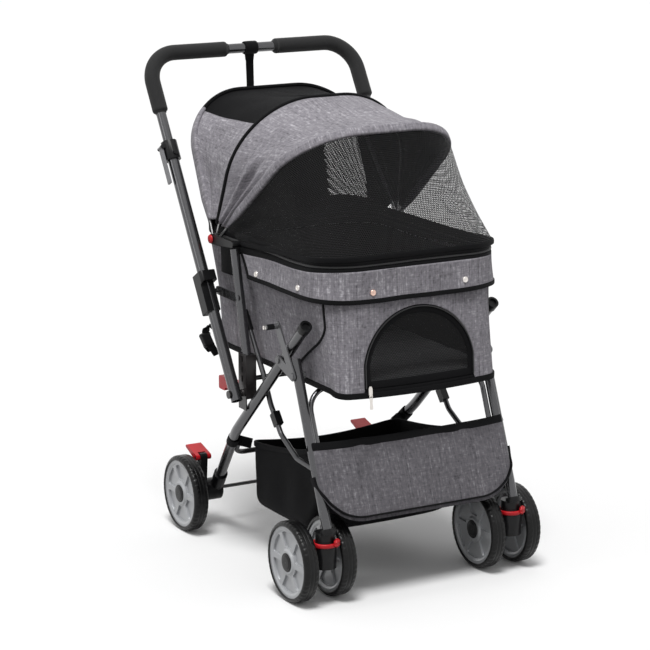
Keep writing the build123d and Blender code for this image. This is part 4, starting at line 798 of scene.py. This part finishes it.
doorEdge, doorInner = archOutline(0.8), archOutline(doorCut["edge"])
netRho = np.linspace(0.03, 1, 22)[:, None]
netFlat = lerp(np.array(doorCut["mid"]), doorInner[None], netRho[..., None])
netOut = (-1.2 + 2.0 * (1 - netRho ** 2)
          + ripple(netFlat[..., 0], netFlat[..., 1], 15, 130) * 0.7 * (1 - netRho ** 3))
piece("door_netting", [patch(onDoor(netFlat, netOut), False, True, uv=ringed(netFlat))], [netting], "door",
      away=doorMid, stands=["door_panel"], sheet=(206, 124, "stretched", ["door_binding"]))
bindShare = np.array([0, 0.08, 0.2, 0.5, 0.8, 0.92, 1.0])
bindFlat = lerp(doorEdge[None], doorInner[None], bindShare[:, None, None])
bindOut = (np.sin(np.pi * bindShare) ** 0.5 * 1.5 - 0.9)[:, None]
bindRun = runAlong(np.vstack([doorEdge, doorEdge[:1]]))
bindUv = coords(*grid(bindShare * doorCut["edge"], bindRun)[::-1]) * mm
piece("door_binding", [patch(onDoor(bindFlat, bindOut), False, True, uv=bindUv)], [blackCloth], "door", away=doorMid,
      thick=1.2, lift=-1.0)
sillCut = {"half": (118.5, 115.2), "up": (1.0, 12.6), "out": 1.0}
sillX, sillT = grid(np.linspace(-1, 1, 90), np.linspace(0, 1, 6))
sillFlat = coords(sillX * lerp(*sillCut["half"], sillT), lerp(*sillCut["up"], sillT))
piece("door_sill", [patch(onDoor(sillFlat, sillCut["out"]))], [blackCloth], "chassis", away=doorMid,
      thick=1.2, lift=-1.0)
zipLine = onDoor(archOutline(2.6)[:98], 1.0)  # both legs and the arch, not the foot
piece("door_zip", [sweep(zipLine, superEllipse(2.2, 4.6, 12, 0.7), (0, -1, 0.08))], [zipBlack], "door")

pullCut = {"x": -106.0, "y": 9.0, "block": (9, -7), "blockOut": 3.0, "ring": (3.0, 4.2), "ringAt": -6, "ringOut": 4.6,
           "tab": (-8, -30), "tabOut": (4.8, 4.2), "skew": 0.6, "blockSize": [0.5, 0.8, 0.95, 1, 1, 1, 0.95, 0.8, 0.5],
           "tabSize": [0.7, 0.95, 1, 0.9, 0.82, 0.8, 0.8, 0.85, 0.95, 1, 1, 0.8]}


def pullTab():
    # slider block over the zip, a ring and a long flat tab that hangs from it
    c, x, y, (rx, ry) = pullCut, pullCut["x"], pullCut["y"], pullCut["ring"]
    q = np.arange(20) * turn / 20
    blockLine = np.array([[x, y + c["block"][0]], [x, y + c["block"][1]]])
    tabLine = np.array([[x, y + c["tab"][0]], [x + c["skew"], y + c["tab"][1]]])
    block = onDoor(spread(blockLine, 9), c["blockOut"])
    ring = onDoor(coords(x + rx * np.cos(q), y + c["ringAt"] + ry * np.sin(q)), c["ringOut"])
    tab = onDoor(spread(tabLine, 12), np.linspace(*c["tabOut"], 12))
    return [sweep(block, superEllipse(4.4, 8.5, 14, 0.5), (1, 0, 0), size=np.array(c["blockSize"])),
            sweep(ring, superEllipse(1.5, 1.5, 8, 1), (0, -1, 0.08), True),
            sweep(tab, superEllipse(1.6, 6.4, 14, 0.5), (1, 0, 0), size=np.array(c["tabSize"]))]


piece("door_zip_pull", pullTab(), [snapMetal], "chassis")
print("door hung")

# canopy: arches on three bows, the cloth drawn from one to the next
canopy = {"pivot": (98, 600), "out": 3.7, "start": 40}
canopyMid = (0, *canopy["pivot"])
bows = {  # half width at the pivot, lean, reach, half width at the top, corner radius
    "rear": (202.8, 33.5, 300, 178, 128), "mid": (198, -15.5, 272, 176, 158), "front": (193.2, -51.5, 372, 172, 128),
    "hem": (189, -86.6, 405, 189, 70), "back": (189, 84.5, 90, 186, 62)}


def archLine(bow, out, start, counts=(26, 30, 40)):
    # leg, fillet arc, top, fillet arc, leg: the same count on each so that arches match point for point
    half, _, reach, top, r = bows[bow]
    foot = half + (top - half) * start / reach + out
    a, b = np.array([foot, start]), np.array([top + out, reach + out])
    r = r + out
    down, inward = unit(a - b), np.array([-1.0, 0])
    cut = r / math.tan(math.acos(float(down @ inward)) / 2)
    t0, t1 = b + down * cut, b + inward * cut
    middle = np.array([t1[0], t1[1] - r])
    q = np.linspace(math.atan2(*(t0 - middle)[::-1]), quarter, counts[1])
    leg = lerp(a, t0, np.linspace(0, 1, counts[0])[:-1, None])
    flank = np.concatenate([leg, middle + r * coords(np.cos(q), np.sin(q))])
    roof = lerp(t1, t1 * (-1, 1), np.linspace(0, 1, counts[2])[1:-1, None])
    return np.concatenate([flank, roof, flank[::-1] * (-1, 1)])


def leaned(flat, lean):
    # bow-plane x and reach to a point: the plane turns about the pivot line
    q = math.radians(lean)
    y, z = canopy["pivot"]
    return coords(flat[..., 0], y + flat[..., 1] * math.sin(q), z + flat[..., 1] * math.cos(q))


def clothBetween(bowA, bowB, leanA, leanB, steps, startB, slack):
    # straight threads from arch to arch, hollowed by slack, folded near the feet and lightly rippled
    pa = leaned(archLine(bowA, canopy["out"], canopy["start"]), leanA)
    pb = leaned(archLine(bowB, canopy["out"], startB), leanB)
    t = np.linspace(0, 1, steps)
    points = lerp(pa[:, None], pb[:, None], t[None, :, None])
    normal = unit(np.cross(np.gradient(points, axis=0), np.gradient(points, axis=1)))
    normal = normal * np.sign((normal * (points - canopyMid)).sum(-1, keepdims=True))
    run = runAlong(pa)
    low = np.minimum(run, run[-1] - run)[:, None]
    side = np.where(np.arange(len(pa)) < len(pa) / 2, 1.0, -1.0)[:, None]
    phase = slack["folds"] * t + 0.12 * side + low / 900
    folds = np.sin(turn * phase) * slack["fold"] * smooth(1 - low / slack["foldUp"])
    crease = slack["crease"] * bump(t, 0.25 + low / 560, 0.07) * smooth(1 - low / 420)
    wave = ripple(low * side, t * 160 + 0 * low, slack["seed"], 150) * slack["wave"]
    move = (-slack["hollow"] * smooth(low / 90) + folds + crease + wave) * np.sin(np.pi * t)
    return points + normal * move[..., None], t


slackKeys = ("hollow", "folds", "fold", "foldUp", "crease", "wave", "seed")
slacks = {name: dict(zip(slackKeys, values)) for name, values in {
    "rear": (7.0, 2.6, 3.6, 210, 0.0, 1.6, 21), "front": (6.0, 3.2, 4.6, 240, 5.0, 2.0, 23),
    "net": (7.0, 2.0, 2.0, 160, 0.0, 1.8, 25), "back": (5.0, 1.6, 2.4, 150, 0.0, 2.0, 27)}.items()}


def turnsWith(made):
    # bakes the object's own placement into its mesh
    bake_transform(made)


rearCloth, rearT = clothBetween("rear", "mid", 33.5, -15.0, 44, canopy["start"], slacks["rear"])
seamZ = lerp(803.0, 834.0, rearT)  # the black roof starts at this height
roofLine = int(np.median(np.abs(rearCloth[:len(rearCloth) // 2, :, 2] - seamZ).argmin(0)))
roofKind = np.zeros((len(rearCloth) - 1, len(rearT) - 1), int)
roofKind[roofLine:len(rearCloth) - 1 - roofLine] = 1
canopyRear = piece("canopy_rear_cloth", [patch(rearCloth, finish=roofKind.ravel())],
                   [linen, blackCloth, lining, lining], away=canopyMid, stands=["canopy_rear"],
                   thick=1.3, inner=2, sheet=(640, 260, "stretched", ["rear_bow", "mid_bow"]))
turnsWith(canopyRear)
frontCloth, frontT = clothBetween("mid", "front", -16.0, -51.0, 44, canopy["start"], slacks["front"])
canopyFront = piece("canopy_front_cloth", [patch(frontCloth)], [linen, lining], away=canopyMid,
                    stands=["canopy_front"], thick=1.3, inner=1,
                    sheet=(760, 240, "stretched", ["mid_bow", "front_bow"]))
turnsWith(canopyFront)
hemCut = {"lean": -86.4, "start": (96, 92), "out": 3.4}
netCloth, _ = clothBetween("front", "hem", -52.0, hemCut["lean"], 40, hemCut["start"][0], slacks["net"])
piece("canopy_netting", [patch(netCloth)], [netting], "bow_front", away=canopyMid, stands=["mesh_window"],
      sheet=(900, 300, "stretched", ["front_bow", "zip_band"]))
airing = {"x": (108, 176), "share": (0.16, 0.86)}  # a net strip at each rear corner
backCloth, backT = clothBetween("rear", "back", 34.0, 84.5, 40, 34, slacks["back"])
backX = np.abs(backCloth[:-1, :-1, 0])
backKind = ((backX > airing["x"][0]) & (backX < airing["x"][1])
            & (backT[:-1] > airing["share"][0]) & (backT[:-1] < airing["share"][1])).astype(int)
piece("canopy_back_cloth", [patch(backCloth, finish=backKind.ravel())], [lining, fineNet], "chassis", away=canopyMid,
      sheet=(620, 330, "stretched", ["rear_bow", "zip_band"]))


def bowNormal(lean):
    # square to the plane of a bow that leans by this angle: the cosine along y, less the sine along z
    q = math.radians(lean)
    return (0, math.cos(q), -math.sin(q))


def bowTape(name, bow, out, start, profile, finishes, body, pinch=(1.0, 50), darkOver=None):
    # a tape along a bow, drawn in to a share of its size over some length at each foot, of its second finish high up
    count, lean = 220, bows[bow][1]
    line = leaned(spread(archLine(bow, out, start), count), lean)
    near = np.minimum(np.arange(count), np.arange(count)[::-1]) * np.linalg.norm(line[1] - line[0])
    grow = lerp(pinch[0], 1.0, np.clip(near / pinch[1], 0, 1))
    high = (line[:-1, 2] + line[1:, 2]) / 2
    kind = 0 if darkOver is None else np.repeat((high > darkOver).astype(int), len(profile))
    piece(name, [sweep(line, profile, bowNormal(lean), size=grow, finish=kind)], finishes, body)


bowTape("mid_bow_piping", "mid", 5.2, 32, superEllipse(6.4, 7.4, 14, 0.9), [tape], "bow_mid")
bowTape("front_bow_binding", "front", 2.6, 46, superEllipse(9.5, 17, 18, 0.6), [linenHem], "bow_front",
        pinch=(0.42, 50))
bowTape("rear_bow_hem", "rear", 2.4, 38, superEllipse(8.4, 22, 18, 0.6), [linenHem, blackCloth], "chassis",
        pinch=(0.35, 45), darkOver=822)
netHem = leaned(spread(archLine("hem", hemCut["out"], hemCut["start"][1]), 220), hemCut["lean"])
tapes("netting_hem", [sweep(netHem, superEllipse(4.5, 9, 14, 0.6), bowNormal(hemCut["lean"]))], "bow_front")
buttonCut = {"x": 210.4, "radius": 8.5, "rho": [0.05, 0.4, 0.7, 0.88, 0.97, 1.0, 1.0],
             "high": [3.4, 3.3, 3.0, 2.3, 1.3, 0.3, -0.8]}
buttons = [turned((side * buttonCut["x"], *canopy["pivot"]), (side, 0, 0), (0, 1, 0), (0, 0, 1), buttonCut["radius"],
                  np.array(buttonCut["rho"]), np.array(buttonCut["high"]), 32) for side in (-1, 1)]
piece("canopy_pivot_caps", buttons, [redPlastic], "chassis")
print("canopy drawn")

# basket: a slack bag with its taped mouth, strap loops and the grey front panel
bag = {"half": 163, "front": -279, "rear": 36, "corner": 26, "mid": (0, -115.0), "bottom": 84, "rearTop": 214,
       "frontTop": 276, "sideSag": 9, "backSag": 13, "sag": 5, "dip": (-75, 250), "climb": 74, "ramp": (-165, 80),
       "square": 0.17, "stretch": 1.25, "around": 956}


def bagPlan(count):
    # rounded rectangle: four corner arcs, then points at equal lengths
    h, f, r, c = bag["half"], bag["front"], bag["rear"], bag["corner"]
    q = np.linspace(0, quarter, 10)
    places = ((h - c, r - c), (-h + c, r - c), (-h + c, f + c), (h - c, f + c))
    arcs = [place + c * coords(np.cos(q + n * quarter), np.sin(q + n * quarter)) for n, place in enumerate(places)]
    return spread(np.concatenate(arcs), count, True)


def bagCloth(count, rings):
    # walls drop from the mouth and round under to the floor on a squared curve; the floor climbs to the front and sags
    plan, mid = bagPlan(count), np.array(bag["mid"])
    q = np.linspace(0.0, quarter, 900)
    curve = spread(coords(np.cos(q) ** bag["square"] * bag["stretch"], np.sin(q) ** bag["square"]), rings)
    keep, fall = np.clip(curve[:, :1] / bag["stretch"], 0.012, 1), curve[:, 1:]
    xy = mid + (plan - mid)[None] * keep[..., None]
    x, y = xy[..., 0], xy[..., 1]
    reach = (plan[:, 1] - bag["front"]) / (bag["rear"] - bag["front"])
    long = arcSin(reach) * (np.abs(plan[:, 0]) > 150)
    wide = arcSin((plan[:, 0] + bag["half"]) / (2 * bag["half"])) * (plan[:, 1] > 20)
    sag = bag["sideSag"] * long + bag["backSag"] * wide
    mouth = lerp(bag["rearTop"], bag["frontTop"], np.clip(1 - reach, 0, 1)) - sag
    (dipMid, dipHalf), (rampFrom, rampLong) = bag["dip"], bag["ramp"]
    dip = np.cos(x / bag["half"] * quarter) * np.cos((y - dipMid) / dipHalf * quarter).clip(0)
    low = bag["bottom"] + bag["climb"] * smooth((rampFrom - y) / rampLong) - bag["sag"] * dip
    z = lerp(mouth[None], low, fall)
    out = unit(np.concatenate([plan - mid, 0 * plan[:, :1]], 1))
    around, onWall = np.linspace(0, bag["around"], count)[None], keep > 0.6
    fold = ripple(around + 0 * z, z * 0.4, 31, 110) * 2.6 + np.sin(around / 17 + z / 60) * 1.3
    pinch = -4 * np.sin(np.pi * fall ** 0.8) * (0.2 + 0.8 * wide + 0.5 * long)
    move = (fold * arcSin(fall * 1.02) + pinch) * onWall - 1.0
    return np.concatenate([xy, z[..., None]], -1) + out[None] * move[..., None]


def followsLegs(made):
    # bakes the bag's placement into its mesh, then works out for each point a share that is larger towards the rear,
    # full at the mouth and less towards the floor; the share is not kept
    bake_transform(made)
    place = np.empty((len(made.data.vertices), 3), np.float32)
    made.data.vertices.foreach_get("co", place.ravel())
    back, up = np.clip((place[:, 1] + 0.16) / 0.19, 0, 1), smooth((place[:, 2] - 0.084) / 0.13)
    (back * lerp(0.3, 1.0, up)).astype(np.float32)


bagPoints = bagCloth(260, 64)
bagPiece = piece("basket_bag", [patch(bagPoints, False, True)], [blackCloth, lining], away=(0, -110, 230),
                 stands=["basket"], thick=1.6, inner=1, lift=-1.0,
                 sheet=(700, 620, "hung", ["brace_tube", "rear_legs"]))
bagMouth = spread(bagPoints[0], 260, True) + (0, 0, -4)
mouthTape = tapes("basket_mouth_tape", [sweep(bagMouth, superEllipse(3.6, 10, 14, 0.5), (0, 0, 1), True)], None)
followsLegs(bagPiece)
followsLegs(mouthTape)

loopCut = {"middle": (191.5, 46.5, 217), "leg": (-0.13, 0.72, -0.69), "radius": 11.2, "wide": 22,
           "tail": [(181.0, 44, 214.5), (172.0, 40, 211.5), (158.0, 35.5, 207.0)]}


def strapLoop(side):
    # webbing round the rear leg: a ring in the plane square to the leg, drawn out to the bag's corner
    mirror, wide = np.array([side, 1, 1]), loopCut["wide"]
    leg = unit(loopCut["leg"] * mirror)
    s = unit(np.cross(leg, (side, 0.0, 0.0)))
    q = np.linspace(0, turn, 49)[:-1, None]
    ring = loopCut["middle"] * mirror + loopCut["radius"] * (np.cos(q) * s + np.sin(q) * np.cross(leg, s))
    return [sweep(ring, superEllipse(2.2, wide, 12, 0.4), leg, True),
            sweep(spread(loopCut["tail"] * mirror, 14), superEllipse(2.2, wide * 0.9, 12, 0.4), (0, 0.35, 1))]


tapes("basket_strap_loops", strapLoop(-1) + strapLoop(1), "rear_frame")

panel = {"half": 208, "top": 287, "side": 230, "low": 147, "flat": 122, "out": 11.2, "tape": 15, "belly": 7.0,
         "dip": 3.0, "wrap": 11.0}
legFoot, legTop = np.array([-327.0, 152.0]), np.array([-213.0, 432.0])
legY, legZ = unit(legTop - legFoot)


def onPanel(x, z, out):
    # the plane of the front legs: z along the legs' lean, out in front of their axes
    up = (z - legFoot[1]) / legZ
    return coords(x, legFoot[0] + up * legY - out * legZ, legFoot[1] + up * legZ + out * legY)


def panelLow(x):
    # flat in the middle, a quarter ellipse up to each side
    e = np.clip((np.abs(x) - panel["flat"]) / (panel["half"] - panel["flat"]), 0, 1)
    return panel["side"] - (panel["side"] - panel["low"]) * np.sqrt(1 - e ** 2)


def panelCloth(s, t):
    # s across from -1 to 1, t down from the mouth; bellies forward low down, wraps back round the legs at its sides
    x, swell = panel["half"] * s, np.cos(s * quarter)
    far = np.abs(x)
    z = lerp(panel["top"] - panel["dip"] * swell, panelLow(x), t)
    belly = panel["belly"] * arcSin(t * 0.8 + 0.1) * swell ** 0.7
    wrap = panel["wrap"] * smooth((far - 197) / 11)
    crease = 2.2 * bump(far + (z - 210) * 0.8, 150, 16) * smooth((z - 150) / 40)
    drag = ripple(x, z, 41, 170) * 1.5 * (1 - s ** 4) + crease
    return onPanel(x, z, panel["out"] + belly - wrap + drag)


acrossS = np.linspace(-1, 1, 181)
panelS, panelT = grid(np.sin(acrossS * quarter) * 0.35 + acrossS * 0.65, np.linspace(0, 1, 50))
panelX = panel["half"] * panelS
panelUv = coords(panelX, lerp(panel["top"], panelLow(panelX), panelT)) * mm
# the panel takes the darker copy of the linen: its lower tone is painted shade, not a different cloth
piece("basket_front_cloth", [patch(panelCloth(panelS, panelT), uv=panelUv)], [shadedPanelLinen, lining], "chassis",
      away=(0, -100, 230), stands=["basket_front"], thick=1.5, inner=1,
      sheet=(420, 150, "stretched", ["front_legs"]))
topLine = spread(panelCloth(np.linspace(-1, 1, 160), np.full(160, 0.05)), 160)
lowLine = spread(panelCloth(np.sin(np.linspace(-1, 1, 240) * quarter), np.full(240, 0.95)), 240)
panelTape = superEllipse(3.4, panel["tape"], 14, 0.5)
tapes("basket_front_tape", [sweep(topLine, panelTape, (0, 0.38, 0.92)), sweep(lowLine, panelTape, (0, -0.92, 0.38))])
print("basket hung")

matCut = {"inset": 4.2, "front": -311.5, "low": 390.8, "high": 403.4, "channel": 80}


def padForm():
    # closed pad with sewn channels: rings from the middle of the top, over the rounded edge, to the underside's middle
    edge = cabinWall(np.linspace(0, cabinRound, 220, endpoint=False), np.zeros(220), -matCut["inset"])[:, :2]
    edge[:, 1] = np.maximum(edge[:, 1], matCut["front"])
    mid = np.array(cabin["mid"])
    rho = np.concatenate([np.linspace(0.02, 0.95, 46), [0.975, 0.99, 1, 1, 0.985, 0.96], np.linspace(0.9, 0.02, 10)])
    top = np.concatenate([np.ones(46), [0.93, 0.8, 0.6, 0.35, 0.12, 0.0], np.zeros(10)])[:, None]
    xy = mid + (edge - mid)[None] * rho[:, None, None]
    crown = 0.62 + 0.38 * np.abs(np.sin((xy[..., 1] - mid[1]) / matCut["channel"] * math.pi)) ** 0.5
    z = lerp(matCut["low"], matCut["high"], top * np.where(top > 0.9, crown, np.minimum(1, crown + 0.1)))
    return np.concatenate([xy, z[..., None]], -1)


mat = piece("floor_pad", [patch(padForm(), False, True, caps=True)], [matCloth], "chassis", stands=["floor_mat"])

# handle: foam grips and a webbing strap
handle = {"pivot": (-33, 330), "lean": math.radians(31.735), "length": 699.6, "x": 228, "bend": 62}
leanY, leanZ = math.sin(handle["lean"]), math.cos(handle["lean"])


def onHandle(x, d):
    # across, and along the handle from its pivot
    return coords(x + 0 * d, handle["pivot"][0] + d * leanY, handle["pivot"][1] + d * leanZ)


gripCut = {"from": 50.5, "legEnd": 574, "thick": 30, "round": 7}


def gripPath(side):
    # along the bar, round the bend, down the leg
    r, hx, far = handle["bend"], handle["x"], handle["length"]
    q = np.linspace(quarter, 0, 24)
    flat = np.concatenate([coords(np.linspace(gripCut["from"], hx - r, 20, endpoint=False), np.full(20, far)),
                           coords(hx - r + r * np.cos(q), far - r + r * np.sin(q)),
                           coords(np.full(20, hx), np.linspace(far - r, gripCut["legEnd"], 21)[1:])])
    flat = endFine(flat, 90, gripCut["round"])
    return onHandle(side * flat[:, 0], flat[:, 1])


gripDisc = superEllipse(gripCut["thick"], gripCut["thick"], 36, 1)
grips = piece("foam_grips", [sweep(line, gripDisc, (0, -leanZ, leanY), size=roundedEnds(line, gripCut["round"], 0.72))
                             for line in (gripPath(-1), gripPath(1))],
              [foam], "handle_upper", stands=["grips"])

strapCut = {"wide": 27, "ring": 11.6, "tail": 17, "long": 82, "thick": 2.6}


def strapParts():
    # a band round the bar and a doubled tail hanging straight down, a little twisted and bowed
    bar = onHandle(np.zeros(1), np.full(1, handle["length"]))[0]
    t, down = np.arange(40) * turn / 40, np.linspace(0, 1, 40)
    ring = bar + strapCut["ring"] * coords(0 * t, np.cos(t), np.sin(t))
    tail = bar + coords(2.0 * np.sin(down * 3.0), 2.4 * np.sin(down * 4.0) + 1.5, -10 - strapCut["long"] * down)
    tailSize = coords(1 + 0.9 * bump(down, 0.97, 0.035), lerp(1.0, 0.92, down))
    neck = bar + coords(0 * down, 1.5 + 0 * down, -9 - 16 * down)
    neckSize = coords(np.ones(40), lerp(1.0, 0.8, down))
    return [sweep(ring, superEllipse(3.2, strapCut["wide"], 14, 0.4), (1, 0, 0), True),
            sweep(tail, superEllipse(strapCut["thick"], strapCut["tail"], 14, 0.4), (1, 0, 0), size=tailSize),
            sweep(neck, superEllipse(4.4, strapCut["wide"] * 0.8, 14, 0.4), (1, 0, 0), size=neckSize)]


piece("handle_webbing", strapParts(), [tape], "handle_upper", stands=["handle_strap"])
print("handle dressed")


# stage, light and camera
def seenDirectly(w):
    # 1 where the camera, a reflection or a see-through hole looks, 0 for scattered light
    ray = w.node("LightPath").out.node.outputs
    camera, glint, through = (Wire(w.tree, ray[k]) for k in ("Is Camera Ray", "Is Glossy Ray", "Is Transmission Ray"))
    return camera.calc("MAXIMUM", camera.calc("MAXIMUM", camera, glint), through)


def paleFloor(w):
    # near-white sweep, a little cloudy; scattered light finds it darker so that it throws less up under the object
    place = onObject(w)
    return {"Base Color": seenDirectly(w).blend(grey(0.16), noise(w, place, 3, 2).blend(grey(0.95), grey(0.97))),
            "Roughness": noise(w, place, 40, 2) * 0.1 + 0.8}


floorHalf = 30000
floorCorners = np.array([[[-1, -1, 0], [-1, 1, 0]], [[1, -1, 0], [1, 1, 0]]], float) * floorHalf
stageWhite = makeFinish("paleFloor", dull, paleFloor)
stageFloor = piece("stage_floor", [patch(floorCorners)], [stageWhite], away=(0, 0, -1000))

sky = bpy.data.worlds.new("studio")
bpy.context.scene.world = sky
sky.use_nodes = True
background = sky.node_tree.nodes["Background"]
background.inputs["Color"].default_value = (1, 1, 1, 1)
skyLight = {"seen": 1.0, "scattered": 0.44}
strength = seenDirectly(Wire(sky.node_tree)) * (skyLight["seen"] - skyLight["scattered"]) + skyLight["scattered"]
sky.node_tree.links.new(strength.out, background.inputs["Strength"])


def aimed(name, data, place, aim):
    # a lamp or camera at a place, turned so that it looks at a point
    made = bpy.data.objects.new(name, data)
    made.location = place
    made.rotation_euler = (Vector(aim) - Vector(place)).to_track_quat("-Z", "Y").to_euler()
    bpy.context.scene.collection.objects.link(made)
    return made


keySun = bpy.data.lights.new("keySun", "SUN")
keySun.energy, keySun.angle = 2.1, math.radians(20)
aimed("keySun", keySun, (-1.1, -1.3, 4.8), (0, 0, 0.4))
softBoxes = {"leftBox": (11, (-3.0, 0.2, 2.4), (0.6, 2.2)), "rightBox": (5, (2.6, -2.4, 2.2), (0.5, 2.0))}
for name, (energy, place, size) in softBoxes.items():
    box = bpy.data.lights.new(name, "AREA")
    box.energy, box.shape, (box.size, box.size_y) = energy, "RECTANGLE", size
    aimed(name, box, place, (0, 0, 0.5))
view = bpy.data.cameras.new("photoView")
view.lens, view.sensor_width, view.clip_end = 135.64, 36, 100
bpy.context.scene.camera = aimed("photoView", view, (-2.24678, -3.96504, 1.50539), (-0.01727, 0, 0.43092))
bpy.context.scene.view_settings.view_transform = "Standard"

bpy.context.view_layer.update()
